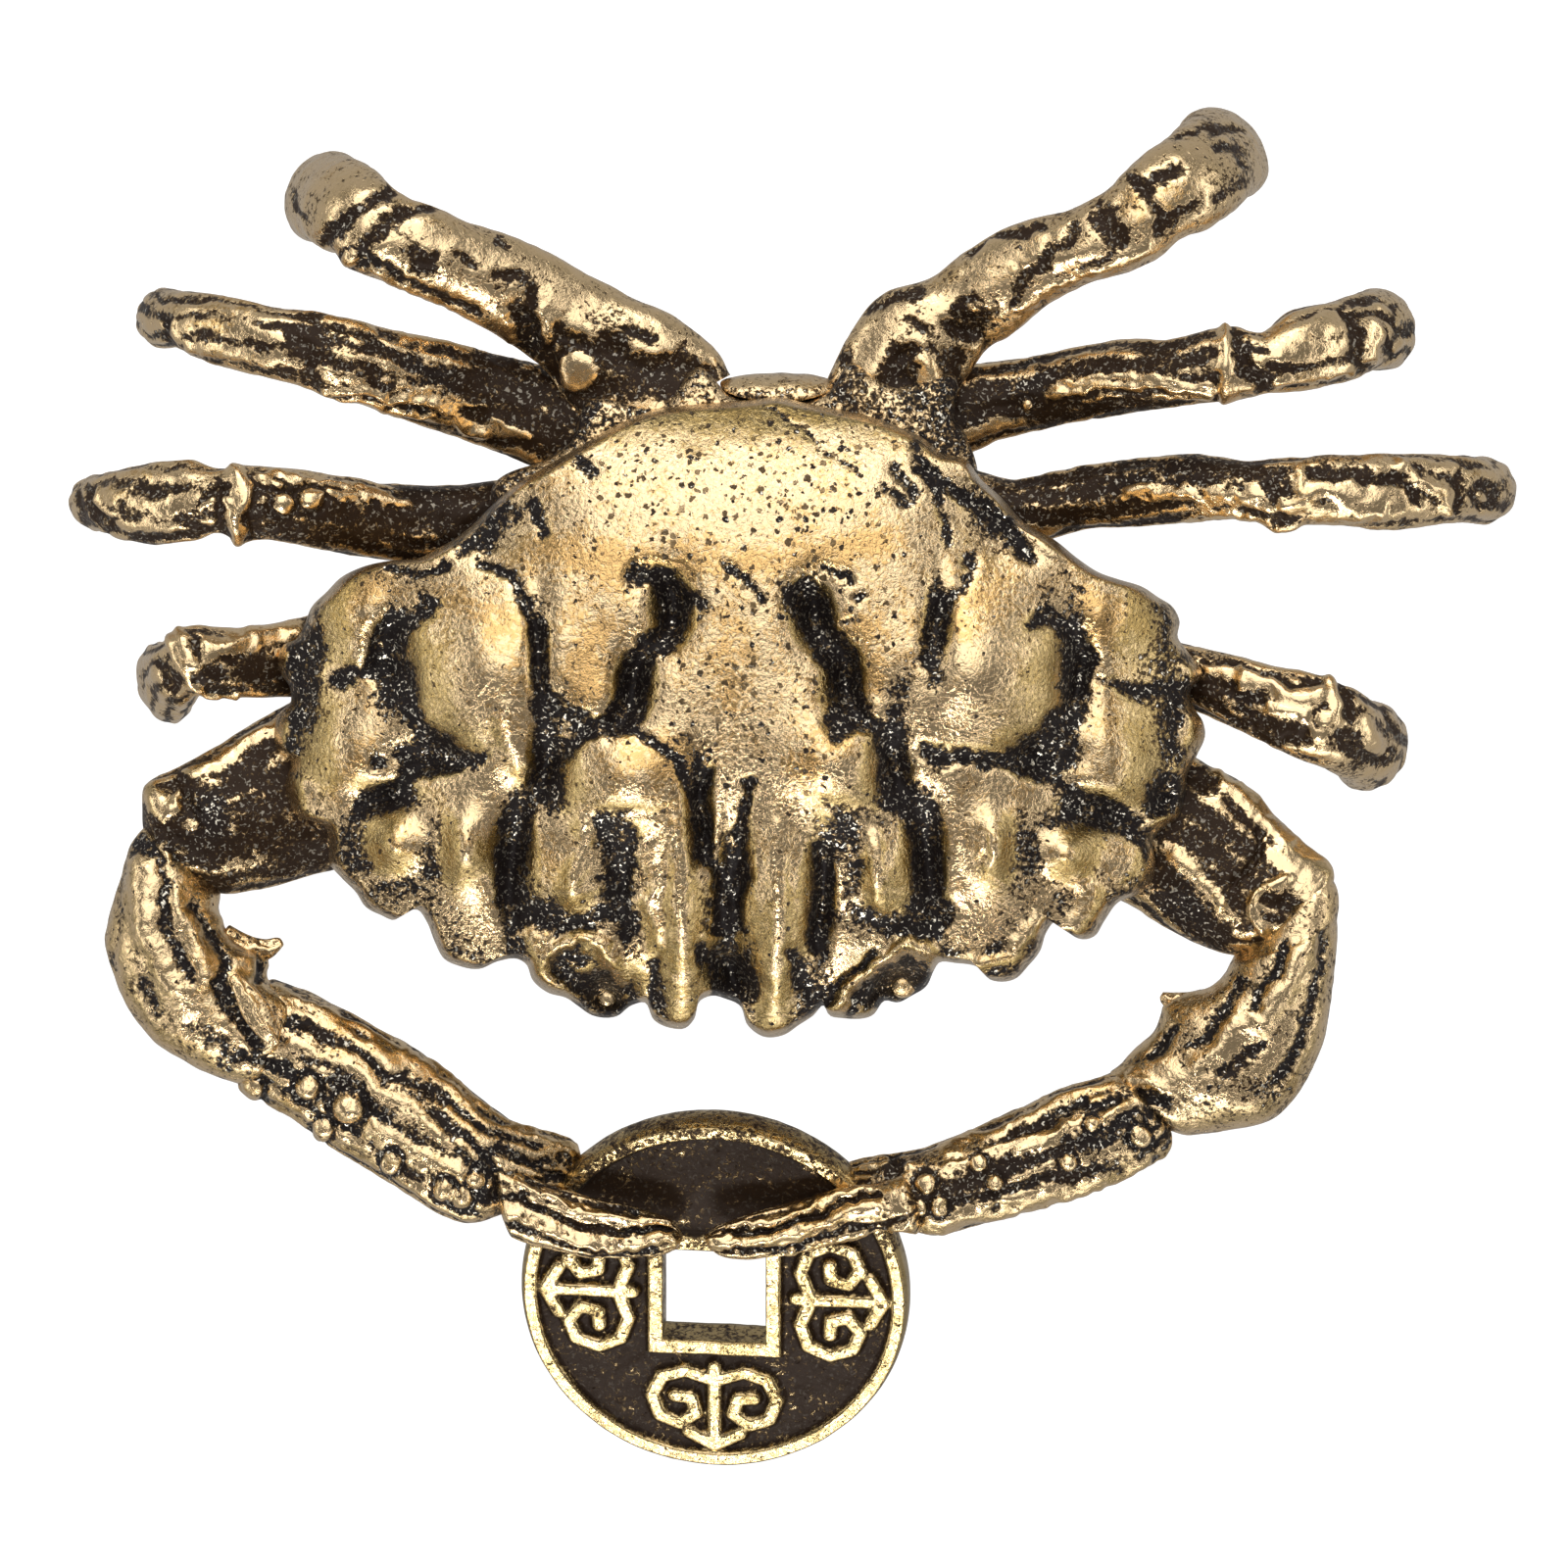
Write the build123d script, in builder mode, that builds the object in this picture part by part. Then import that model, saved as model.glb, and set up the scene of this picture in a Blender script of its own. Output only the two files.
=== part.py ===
from build123d import *
import os
from math import cos, exp, pi, radians, sin, tan

# A cast brass crab that grips a cash coin. Seen from above with its rear at the top, +X points to the
# right, +Y to the rear, and left and right in the names are as seen so. The feet stand on Z = 0.
# Every piece is rooted in its neighbour by a round peg in a socket. Nothing moves.

# Place of the carapace's centre, from the middle of the whole figure
BODY_X = -1.67
BODY_Y = 2.28

# Carapace
CARAPACE_WIDTH = 29.5
CARAPACE_LENGTH = 20.3
CARAPACE_SEAM_Z = 6.4
CARAPACE_RIM_RISE = 0.9
CARAPACE_CROWN = 5.3
BACK_TOLERANCE = 0.05
CARAPACE_BOSS_RADIUS = 3.0
CARAPACE_BOSS_HEIGHT = 1.0

# Underbody and the tail that is folded under it
UNDERBODY_BAND_Z = 3.2
UNDERBODY_BOTTOM_Z = 2.2
UNDERBODY_REAR_Z = 8.0
ABDOMEN_WIDTH = 3.4
ABDOMEN_THICKNESS = 0.55
ABDOMEN_LENGTH = 9.5
ABDOMEN_TIP_WIDTH = 1.8

# Walking legs, by pairs from the rear: upper part, lower part, girth, and height of root and knee
LEG_1_MERUS = 9.1
LEG_1_SHANK = 2.9
LEG_1_WIDTH = 3.0
LEG_1_DEPTH = 2.7
LEG_1_ROOT_Z = 6.7
LEG_1_KNEE_Z = 8.2
LEG_2_MERUS = 8.25
LEG_2_SHANK = 5.05
LEG_2_WIDTH = 2.55
LEG_2_DEPTH = 2.4
LEG_2_ROOT_Z = 5.6
LEG_2_KNEE_Z = 7.4
LEG_3_MERUS = 8.95
LEG_3_SHANK = 5.35
LEG_3_WIDTH = 2.4
LEG_3_DEPTH = 2.3
LEG_3_ROOT_Z = 4.9
LEG_3_KNEE_Z = 7.0
LEG_4_MERUS = 5.95
LEG_4_SHANK = 2.0
LEG_4_WIDTH = 2.4
LEG_4_DEPTH = 2.1
LEG_4_ROOT_Z = 4.9
LEG_4_KNEE_Z = 6.4

# Claws: the two are not alike, so each has its own lengths and widths
LEFT_ARM_LENGTH = 6.95
LEFT_WRIST_LENGTH = 6.1
LEFT_PALM_LENGTH = 9.45
LEFT_ARM_WIDTH = 4.8
LEFT_WRIST_WIDTH = 4.0
LEFT_PALM_WIDTH = 3.9
RIGHT_ARM_LENGTH = 7.7
RIGHT_WRIST_LENGTH = 6.75
RIGHT_PALM_LENGTH = 8.4
RIGHT_ARM_WIDTH = 5.0
RIGHT_WRIST_WIDTH = 4.5
RIGHT_PALM_WIDTH = 3.3
ARM_ROOT_Z = 4.65
ELBOW_Z = 5.6
WRIST_END_Z = 5.3
ARM_DEPTH = 3.2
WRIST_DEPTH = 4.0
PALM_DEPTH = 3.6
FINGER_WIDTH = 2.3
FINGER_DEPTH = 1.6
# The two finger tips meet this far in front of the line between the palms' ends, with a gap between them
FINGER_DROP = 1.81
FINGER_TIP_GAP = 0.4

# Coin
COIN_RADIUS = 6.2
COIN_THICKNESS = 1.3
COIN_HOLE = 3.3
COIN_RIM_WIDTH = 0.53
COIN_HOLE_BORDER = 0.45
COIN_RECESS = 0.2
COIN_STROKE = 0.4
COIN_GROUND_CLEARANCE = 0.1
COIN_TILT = 28
COIN_LEAN = 6

# Eyes, pegs and sockets
EYE_RADIUS = 0.42
EYE_STALK_RADIUS = 0.18
EYE_STALK_LENGTH = 0.9
EYE_Z = 7.35
PEG_RADIUS = 0.5
PEG_LENGTH = 1.1
FIT_CLEARANCE = 0.03

# Toothed edge of the carapace, as shares of its half width and half length, clockwise from the rear
RIGHT_EDGE_SHARES = [
    (0.01, 0.99), (0.10, 1.00), (0.20, 0.97), (0.31, 0.92), (0.39, 0.84), (0.48, 0.80), (0.56, 0.69),
    (0.68, 0.55), (0.77, 0.45), (0.86, 0.41), (0.93, 0.34), (0.94, 0.25), (0.97, 0.20), (0.99, 0.13),
    (0.97, 0.08), (0.98, 0.02), (1.00, -0.06), (0.97, -0.14), (0.96, -0.26), (0.94, -0.32),
    (0.89, -0.39), (0.89, -0.46), (0.87, -0.53), (0.81, -0.58), (0.76, -0.69), (0.72, -0.69),
    (0.71, -0.64), (0.68, -0.64), (0.64, -0.74), (0.59, -0.82), (0.55, -0.83), (0.51, -0.77),
    (0.43, -0.77), (0.40, -0.84), (0.35, -0.89), (0.31, -0.89), (0.28, -0.93), (0.22, -0.95),
    (0.18, -0.90), (0.16, -0.93), (0.12, -0.98), (0.05, -1.00), (0.01, -0.96),
]
LEFT_EDGE_SHARES = [
    (-0.03, -0.87), (-0.08, -0.87), (-0.10, -0.95), (-0.14, -0.97), (-0.18, -0.95), (-0.21, -0.89),
    (-0.24, -0.90), (-0.27, -0.94), (-0.32, -0.93), (-0.36, -0.89), (-0.41, -0.87), (-0.45, -0.82),
    (-0.47, -0.76), (-0.54, -0.79), (-0.61, -0.77), (-0.65, -0.71), (-0.67, -0.63), (-0.69, -0.60),
    (-0.73, -0.63), (-0.78, -0.61), (-0.84, -0.52), (-0.88, -0.45), (-0.89, -0.35), (-0.95, -0.31),
    (-0.98, -0.22), (-0.98, -0.14), (-0.99, -0.07), (-0.97, 0.04), (-0.98, 0.13), (-0.99, 0.20),
    (-0.95, 0.26), (-0.92, 0.36), (-0.86, 0.44), (-0.79, 0.48), (-0.69, 0.50), (-0.62, 0.56),
    (-0.54, 0.65), (-0.49, 0.73), (-0.36, 0.81), (-0.29, 0.90), (-0.20, 0.95), (-0.10, 0.98),
]

# Lobes and hollows of the back: place and spread as shares of the half sizes, rise as a share of the crown
LOBE_SHARES = [
    (-0.570, 0.108, 0.13, 0.19, 0.20), (0.536, 0.108, 0.13, 0.19, 0.20),
    (-0.836, 0.308, 0.10, 0.13, 0.14), (0.813, 0.308, 0.10, 0.13, 0.14),
    (-0.889, -0.185, 0.08, 0.16, 0.12), (0.823, -0.185, 0.08, 0.16, 0.12),
    (-0.268, -0.231, 0.11, 0.18, 0.16), (0.196, -0.185, 0.12, 0.18, 0.16),
    (-0.751, -0.422, 0.055, 0.08, 0.14), (0.702, -0.446, 0.055, 0.08, 0.14),
    (-0.602, -0.431, 0.045, 0.12, 0.14), (0.540, -0.431, 0.045, 0.12, 0.14),
    (-0.357, -0.538, 0.08, 0.12, 0.09), (0.302, -0.508, 0.08, 0.12, 0.09),
    (-0.134, -0.723, 0.05, 0.26, 0.14), (0.068, -0.631, 0.045, 0.33, 0.14),
]
GROOVE_SHARES = [
    (-0.183, 0.277, 0.068, 0.154, -0.19), (0.149, 0.262, 0.064, 0.14, -0.18),
    (-0.251, 0.062, 0.072, 0.13, -0.16), (0.206, 0.062, 0.068, 0.14, -0.19),
    (-0.389, -0.154, 0.064, 0.16, -0.14), (0.313, -0.154, 0.068, 0.15, -0.16),
    (-0.479, -0.415, 0.055, 0.20, -0.14), (0.398, -0.415, 0.055, 0.20, -0.16),
    (-0.443, 0.185, 0.055, 0.18, -0.16), (0.398, 0.185, 0.055, 0.18, -0.16),
    (-0.753, 0.154, 0.05, 0.16, -0.14), (0.719, 0.077, 0.05, 0.18, -0.14),
    (-0.666, -0.123, 0.07, 0.13, -0.13), (0.632, -0.154, 0.07, 0.12, -0.13),
    (-0.772, -0.292, 0.08, 0.08, -0.11), (0.770, -0.338, 0.09, 0.08, -0.11),
    (-0.106, -0.323, 0.035, 0.15, -0.13), (0.170, -0.585, 0.035, 0.17, -0.11),
    (-0.028, -0.569, 0.035, 0.20, -0.13), (-0.028, -0.820, 0.04, 0.10, -0.16),
    (-0.538, 0.600, 0.13, 0.16, -0.16), (0.547, 0.585, 0.13, 0.16, -0.16),
    (-0.285, -0.900, 0.06, 0.07, -0.30), (0.345, -0.870, 0.06, 0.07, -0.28),
]
# The dome is highest at this share of its half length, and falls from there to both ends
PEAK_SHARE = 0.3
REAR_FALL_SHARE = 0.5
REAR_POWER = 3
FRONT_FALL_SHARE = 0.78
FRONT_POWER = 2
DOME_POWER = 2.4
# The grid of the back's surface goes a little past the carapace's edge
GRID_COLUMNS = 43
GRID_ROWS = 31
GRID_REACH_SHARE = 1.06

# Round section shared by every limb
SECTION_POINTS = 12

# Stations of a walking leg: along the upper part, its rise from root to knee, girth
MERUS_SHARES = [
    (0.00, 0.00, 0.84), (0.20, 0.02, 0.97), (0.40, 0.07, 1.00), (0.62, 0.42, 0.97), (0.80, 0.80, 0.88),
    (0.94, 0.98, 0.84),
]
# The lower part turns down along a quarter ellipse: angle of the turn in degrees, girth
SHANK_ANGLES = [20, 45, 70, 90]
SHANK_GIRTH_SHARES = [0.98, 0.98, 0.86, 0.62]
# From there it goes down to the ground: reach, height as a share of the ankle's, girth
ANKLE_SHARE = 0.25
FOOT_SHARES = [(0.99, 0.45, 0.47), (0.97, 0.00, 0.38)]

# Each leg: root place as shares of the carapace's half sizes, and how its upper part, lower part and
# width compare with those of its pair
LEG_SHARES = {
    "left_leg_1": (-0.13, 1.10, 1.14, 0.72, 1.08),
    "left_leg_2": (-0.39, 0.93, 0.97, 0.99, 1.10),
    "left_leg_3": (-0.54, 0.62, 0.87, 0.88, 1.04),
    "left_leg_4": (-0.81, 0.23, 0.79, 0.80, 0.92),
    "right_leg_4": (0.77, 0.25, 1.21, 1.20, 1.08),
    "right_leg_3": (0.52, 0.65, 1.13, 1.12, 0.96),
    "right_leg_2": (0.48, 0.98, 1.03, 1.01, 0.90),
    "right_leg_1": (0.29, 1.17, 1.00, 1.28, 1.00),
}
# Bearings of each leg's upper and lower part, in degrees from +X towards +Y
LEG_ANGLES = {
    "left_leg_1": (155.1, 155.0),
    "left_leg_2": (165.7, 167.9),
    "left_leg_3": (176.6, 180.0),
    "left_leg_4": (185.9, 196.0),
    "right_leg_4": (-19.2, -27.5),
    "right_leg_3": (2.8, 1.5),
    "right_leg_2": (8.8, 14.4),
    "right_leg_1": (25.5, 37.3),
}
# Sizes of a pair of legs, found by the last character of a leg's name
LEG_PAIRS = {
    "1": (LEG_1_MERUS, LEG_1_SHANK, LEG_1_WIDTH, LEG_1_DEPTH, LEG_1_ROOT_Z, LEG_1_KNEE_Z),
    "2": (LEG_2_MERUS, LEG_2_SHANK, LEG_2_WIDTH, LEG_2_DEPTH, LEG_2_ROOT_Z, LEG_2_KNEE_Z),
    "3": (LEG_3_MERUS, LEG_3_SHANK, LEG_3_WIDTH, LEG_3_DEPTH, LEG_3_ROOT_Z, LEG_3_KNEE_Z),
    "4": (LEG_4_MERUS, LEG_4_SHANK, LEG_4_WIDTH, LEG_4_DEPTH, LEG_4_ROOT_Z, LEG_4_KNEE_Z),
}

# Claws: root place, bearings of arm, wrist and palm, bearings of the joints' planes
LEFT_CLAW_ROOT_SHARES = (-0.78, -0.13)
RIGHT_CLAW_ROOT_SHARES = (0.75, -0.19)
LEFT_CLAW_ANGLES = (206.1, 293.0, 330.7)
RIGHT_CLAW_ANGLES = (323.1, 236.9, 199.7)
LEFT_JOINT_ANGLES = (206.1, 235.0, 331.0, 337.0)
RIGHT_JOINT_ANGLES = (323.1, 304.0, 222.0, 185.0)

# Stations inside each segment of a claw: along it, sideways swell away from the body, width, depth
ROOT_SHARE = 0.95
ARM_SHARES = [(0.40, 0.00, 1.00, 1.00), (0.72, 0.00, 0.97, 1.06)]
ELBOW_SHARES = (0.80, 1.12)
WRIST_SHARES = [(0.33, 0.30, 0.92, 1.00), (0.62, 0.32, 1.04, 1.04), (0.85, 0.18, 1.02, 1.00)]
WRIST_END_SHARES = (0.80, 0.92)
PALM_SHARES = [(0.20, 0.00, 0.98, 1.05), (0.50, 0.02, 1.02, 1.08), (0.80, 0.04, 1.00, 1.02)]
PALM_END_SHARES = (0.90, 0.94)
FINGER_SHARES = [(0.00, 1.00), (0.30, 0.78), (0.65, 0.58), (0.90, 0.42), (1.00, 0.20)]
FINGER_SEAT_SHARE = 0.75
# Where the tips meet, from the left palm's end to the right one's, and the fixed fingers' length
FINGER_MEET_SHARE = 0.449
FIXED_FINGER_SHARE = 0.66

# Coin's centre from the middle between the two finger tips, as shares of its radius
COIN_FROM_TIPS_SHARES = (0.10, -0.28)
# Ornament in each quarter: a squared hook, as shares of the space between hole border and rim
HOOK_SHARES = [(-0.75, 0.22), (0.75, 0.22), (0.75, 0.78), (-0.25, 0.78), (-0.25, 0.50)]

# Underbody: its front edge from the left arm to the right arm, and how much smaller its bottom is
BELLY_FRONT_SHARES = [(-0.58, -0.60), (-0.33, -0.78), (-0.03, -0.82), (0.26, -0.78), (0.52, -0.60)]
BELLY_SHARE = 0.82
# Places of the tail's root and of the eyes, as shares of the carapace's half sizes
ABDOMEN_ROOT_SHARES = (0.08, 1.02)
LEFT_EYE_SHARES = (-0.28, -0.90)
RIGHT_EYE_SHARES = (0.35, -0.84)

UP = Vector(0, 0, 1)
half_width = CARAPACE_WIDTH / 2
half_length = CARAPACE_LENGTH / 2
body_centre = Vector(BODY_X, BODY_Y, 0)
os.makedirs("parts", exist_ok=True)


def on_body(x_share, y_share, z=0):
    """A point at shares of the carapace's half width and half length from its centre."""
    return body_centre + Vector(x_share * half_width, y_share * half_length, z)


def heading(bearing):
    """The level unit vector at a bearing, counted from +X towards +Y."""
    return Vector(cos(radians(bearing)), sin(radians(bearing)), 0)


def upright_plane(centre, bearing):
    """A vertical plane that faces along a bearing, with its own Y axis pointing up."""
    direction = heading(bearing)
    return Plane(centre, x_dir=UP.cross(direction), z_dir=direction)


def oval(plane, half_side, half_rise):
    """One smooth oval section of a limb, drawn on its plane."""
    turns = [2 * pi * step / SECTION_POINTS for step in range(SECTION_POINTS)]
    with BuildSketch(plane) as section:
        with BuildLine():
            Spline(*[(half_side * cos(turn), half_rise * sin(turn)) for turn in turns], periodic=True)
        make_face()
    return section.sketch


def disc(plane, radius):
    """A round profile on a plane."""
    with BuildSketch(plane) as profile:
        Circle(radius)
    return profile.sketch


def add_peg(plane):
    """A round peg that stands out of the limb's root face, against the plane's direction."""
    extrude(disc(plane, PEG_RADIUS), amount=-PEG_LENGTH)


def cut_socket(plane):
    """The socket for such a peg, from the same plane."""
    socket = disc(plane, PEG_RADIUS + FIT_CLEARANCE)
    extrude(socket, amount=-PEG_LENGTH - FIT_CLEARANCE, mode=Mode.SUBTRACT)


def finish(piece, name):
    """Names a finished piece and writes it."""
    piece.part.label = name
    export_step(piece.part, f"parts/{name}.step")


# Plan of the claws: joints from root to palm end, then the place where the finger tips meet
def claw_joints(root_shares, bearings, lengths):
    """The root, elbow, wrist and palm end of one claw, in plan."""
    joints = [on_body(*root_shares)]
    for bearing, length in zip(bearings, lengths):
        joints.append(joints[-1] + heading(bearing) * length)
    return joints


left_lengths = (LEFT_ARM_LENGTH, LEFT_WRIST_LENGTH, LEFT_PALM_LENGTH)
right_lengths = (RIGHT_ARM_LENGTH, RIGHT_WRIST_LENGTH, RIGHT_PALM_LENGTH)
left_joints = claw_joints(LEFT_CLAW_ROOT_SHARES, LEFT_CLAW_ANGLES, left_lengths)
right_joints = claw_joints(RIGHT_CLAW_ROOT_SHARES, RIGHT_CLAW_ANGLES, right_lengths)

palm_gap = right_joints[-1] - left_joints[-1]
tips_middle = left_joints[-1] + palm_gap * FINGER_MEET_SHARE - Vector(0, FINGER_DROP, 0)
half_tip_gap = palm_gap.normalized() * FINGER_TIP_GAP / 2

# Plane of the coin: its middle, tilted forward and leaning to one side
coin_height = COIN_GROUND_CLEARANCE + COIN_RADIUS * sin(radians(COIN_TILT)) + COIN_THICKNESS / 2
coin_shift = Vector(COIN_FROM_TIPS_SHARES[0] * COIN_RADIUS, COIN_FROM_TIPS_SHARES[1] * COIN_RADIUS, 0)
coin_centre = tips_middle + coin_shift + UP * coin_height
coin_normal = Vector(-tan(radians(COIN_LEAN)), -tan(radians(COIN_TILT)), 1).normalized()
coin_plane = Plane(coin_centre, x_dir=Vector(1, 0, tan(radians(COIN_LEAN))), z_dir=coin_normal)


def coin_middle_z(point):
    """Height of the coin's middle plane over a point."""
    offset = point - coin_centre
    return coin_centre.Z + offset.X * tan(radians(COIN_LEAN)) + offset.Y * tan(radians(COIN_TILT))


def at_height(point, z):
    """The same place in plan at another height."""
    return Vector(point.X, point.Y, z)


def clear_coin():
    """Keeps a finger or palm out of the coin's space, so that it lies flush on the coin."""
    coin_space = disc(coin_plane.offset(-COIN_THICKNESS / 2), COIN_RADIUS)
    extrude(coin_space, amount=COIN_THICKNESS, mode=Mode.SUBTRACT)


# Carapace
def back_height(x_share, y_share):
    """Height of the back: a dome that falls to the sides and ends, with lobes and hollows on it."""
    across = 1 - abs(x_share) ** DOME_POWER
    if y_share > PEAK_SHARE:
        along = 1 - REAR_FALL_SHARE * ((y_share - PEAK_SHARE) / (1 - PEAK_SHARE)) ** REAR_POWER
    else:
        along = 1 - FRONT_FALL_SHARE * ((PEAK_SHARE - y_share) / (1 + PEAK_SHARE)) ** FRONT_POWER
    relief = 0
    for lobe_x, lobe_y, spread_x, spread_y, rise in LOBE_SHARES + GROOVE_SHARES:
        away = ((x_share - lobe_x) / spread_x) ** 2 + ((y_share - lobe_y) / spread_y) ** 2
        relief += rise * exp(-away)
    return CARAPACE_SEAM_Z + CARAPACE_RIM_RISE + CARAPACE_CROWN * (max(across, 0) * along + relief)


def grid_share(step, steps):
    """The place of one row or column of the grid, as a share of the half size."""
    return GRID_REACH_SHARE * (2 * step / (steps - 1) - 1)


def outline(plane, corners):
    """A straight-sided profile on a plane."""
    with BuildSketch(plane) as profile:
        with BuildLine():
            Polyline(*corners, close=True)
        make_face()
    return profile.sketch


def carapace_outline(gap=0):
    """The toothed outline at the seam, grown by a gap."""
    corners = []
    for x_share, y_share in RIGHT_EDGE_SHARES + LEFT_EDGE_SHARES:
        corners.append((x_share * (half_width + gap), y_share * (half_length + gap)))
    return outline(seam_plane, corners)


back_rows = []
for row in range(GRID_ROWS):
    y_share = grid_share(row, GRID_ROWS)
    x_shares = [grid_share(column, GRID_COLUMNS) for column in range(GRID_COLUMNS)]
    back_rows.append([on_body(x_share, y_share, back_height(x_share, y_share)) for x_share in x_shares])
back_face = Face.make_surface_from_array_of_points(back_rows, tol=BACK_TOLERANCE)
dome_height = CARAPACE_RIM_RISE + CARAPACE_CROWN
seam_plane = Plane(on_body(0, 0, CARAPACE_SEAM_Z))


def clear_carapace():
    """Keeps a limb or the underbody out of the carapace's space, all round its toothed edge."""
    extrude(carapace_outline(FIT_CLEARANCE), amount=2 * dome_height, mode=Mode.SUBTRACT)


def eye_plane(place_shares):
    """A plane that faces forward at an eye's centre."""
    return upright_plane(on_body(*place_shares, EYE_Z), 270)


with BuildPart() as carapace:
    extrude(back_face, amount=2 * dome_height, dir=(0, 0, -1))
    extrude(carapace_outline(), amount=2 * dome_height, mode=Mode.INTERSECT)
    boss_socket = disc(seam_plane, CARAPACE_BOSS_RADIUS + FIT_CLEARANCE)
    extrude(boss_socket, amount=CARAPACE_BOSS_HEIGHT + FIT_CLEARANCE, mode=Mode.SUBTRACT)
    for eye_shares in (LEFT_EYE_SHARES, RIGHT_EYE_SHARES):
        with Locations(eye_plane(eye_shares)):
            Sphere(EYE_RADIUS + FIT_CLEARANCE, mode=Mode.SUBTRACT)
        stalk_socket = disc(eye_plane(eye_shares), EYE_STALK_RADIUS + FIT_CLEARANCE)
        extrude(stalk_socket, amount=-EYE_STALK_LENGTH - FIT_CLEARANCE, mode=Mode.SUBTRACT)
finish(carapace, "carapace")


def make_eye(name, place_shares):
    """A bead on a short stalk that goes back into the carapace."""
    with BuildPart() as eye:
        with Locations(eye_plane(place_shares)):
            Sphere(EYE_RADIUS)
        extrude(disc(eye_plane(place_shares), EYE_STALK_RADIUS), amount=-EYE_STALK_LENGTH)
    finish(eye, name)


make_eye("left_eye", LEFT_EYE_SHARES)
make_eye("right_eye", RIGHT_EYE_SHARES)


# Walking legs
def leg_root_plane(name):
    """The plane on which a leg's root meets the underbody."""
    root_z = LEG_PAIRS[name[-1]][4]
    return upright_plane(on_body(*LEG_SHARES[name][:2], root_z), LEG_ANGLES[name][0])


def leg_width(name):
    """A leg's full width in plan."""
    return LEG_PAIRS[name[-1]][2] * LEG_SHARES[name][4]


def leg_stations(name):
    """Centres and girths along a leg, from its root to the ground."""
    x_share, y_share, merus_share, shank_share = LEG_SHARES[name][:4]
    bearing, shank_bearing = LEG_ANGLES[name]
    merus, shank = LEG_PAIRS[name[-1]][:2]
    root_z, knee_z = LEG_PAIRS[name[-1]][4:]
    root = on_body(x_share, y_share)
    knee = root + heading(bearing) * merus * merus_share
    stations = []
    for along, rise, girth in MERUS_SHARES:
        centre = root + heading(bearing) * merus * merus_share * along
        stations.append((at_height(centre, root_z + rise * (knee_z - root_z)), girth))
    reach = heading(shank_bearing) * shank * shank_share
    ankle_z = knee_z * ANKLE_SHARE
    for turn, girth in zip(SHANK_ANGLES, SHANK_GIRTH_SHARES):
        centre = knee + reach * sin(radians(turn))
        stations.append((at_height(centre, ankle_z + (knee_z - ankle_z) * cos(radians(turn))), girth))
    for along, height, girth in FOOT_SHARES:
        stations.append((at_height(knee + reach * along, ankle_z * height), girth))
    return stations


def make_leg(name):
    """A leg lofted through its stations, with its foot cut level on the ground."""
    bearing, shank_bearing = LEG_ANGLES[name]
    depth = LEG_PAIRS[name[-1]][3]
    stations = leg_stations(name)
    sections = []
    for index, (centre, girth) in enumerate(stations):
        side = UP.cross(heading(bearing if index < len(MERUS_SHARES) else shank_bearing))
        if index == 0:
            run = heading(bearing)
        elif index == len(stations) - 1:
            run = -UP
        else:
            run = stations[index + 1][0] - stations[index - 1][0]
        plane = Plane(centre, x_dir=side, z_dir=run)
        sections.append(oval(plane, leg_width(name) * girth / 2, depth * girth / 2))
    with BuildPart() as leg:
        loft(sections)
        clear_carapace()
        add_peg(leg_root_plane(name))
    finish(leg, name)


for leg_name in LEG_SHARES:
    make_leg(leg_name)


# Claws
def segment_sections(start, end, stations, bearing, outward, size):
    """Sections of one segment of a claw. start and end give a joint's plane, width and depth."""
    width, depth = size
    start_plane, start_width, start_depth = start
    end_plane, end_width, end_depth = end
    run = end_plane.origin - start_plane.origin
    sections = [oval(start_plane, start_width / 2, start_depth / 2)]
    for along, swell, width_share, depth_share in stations:
        centre = start_plane.origin + run * along + outward * swell * width
        plane = upright_plane(centre, bearing)
        sections.append(oval(plane, width * width_share / 2, depth * depth_share / 2))
    sections.append(oval(end_plane, end_width / 2, end_depth / 2))
    return sections


def finger_sections(start, end, lift, facing):
    """Sections of a finger that lies along the coin, lifted from the coin's middle plane."""
    sections = []
    for along, girth in FINGER_SHARES:
        centre = start + (end - start) * along
        plane = upright_plane(at_height(centre, coin_middle_z(centre) + lift), facing)
        sections.append(oval(plane, FINGER_WIDTH * girth / 2, FINGER_DEPTH * girth / 2))
    return sections


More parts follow.
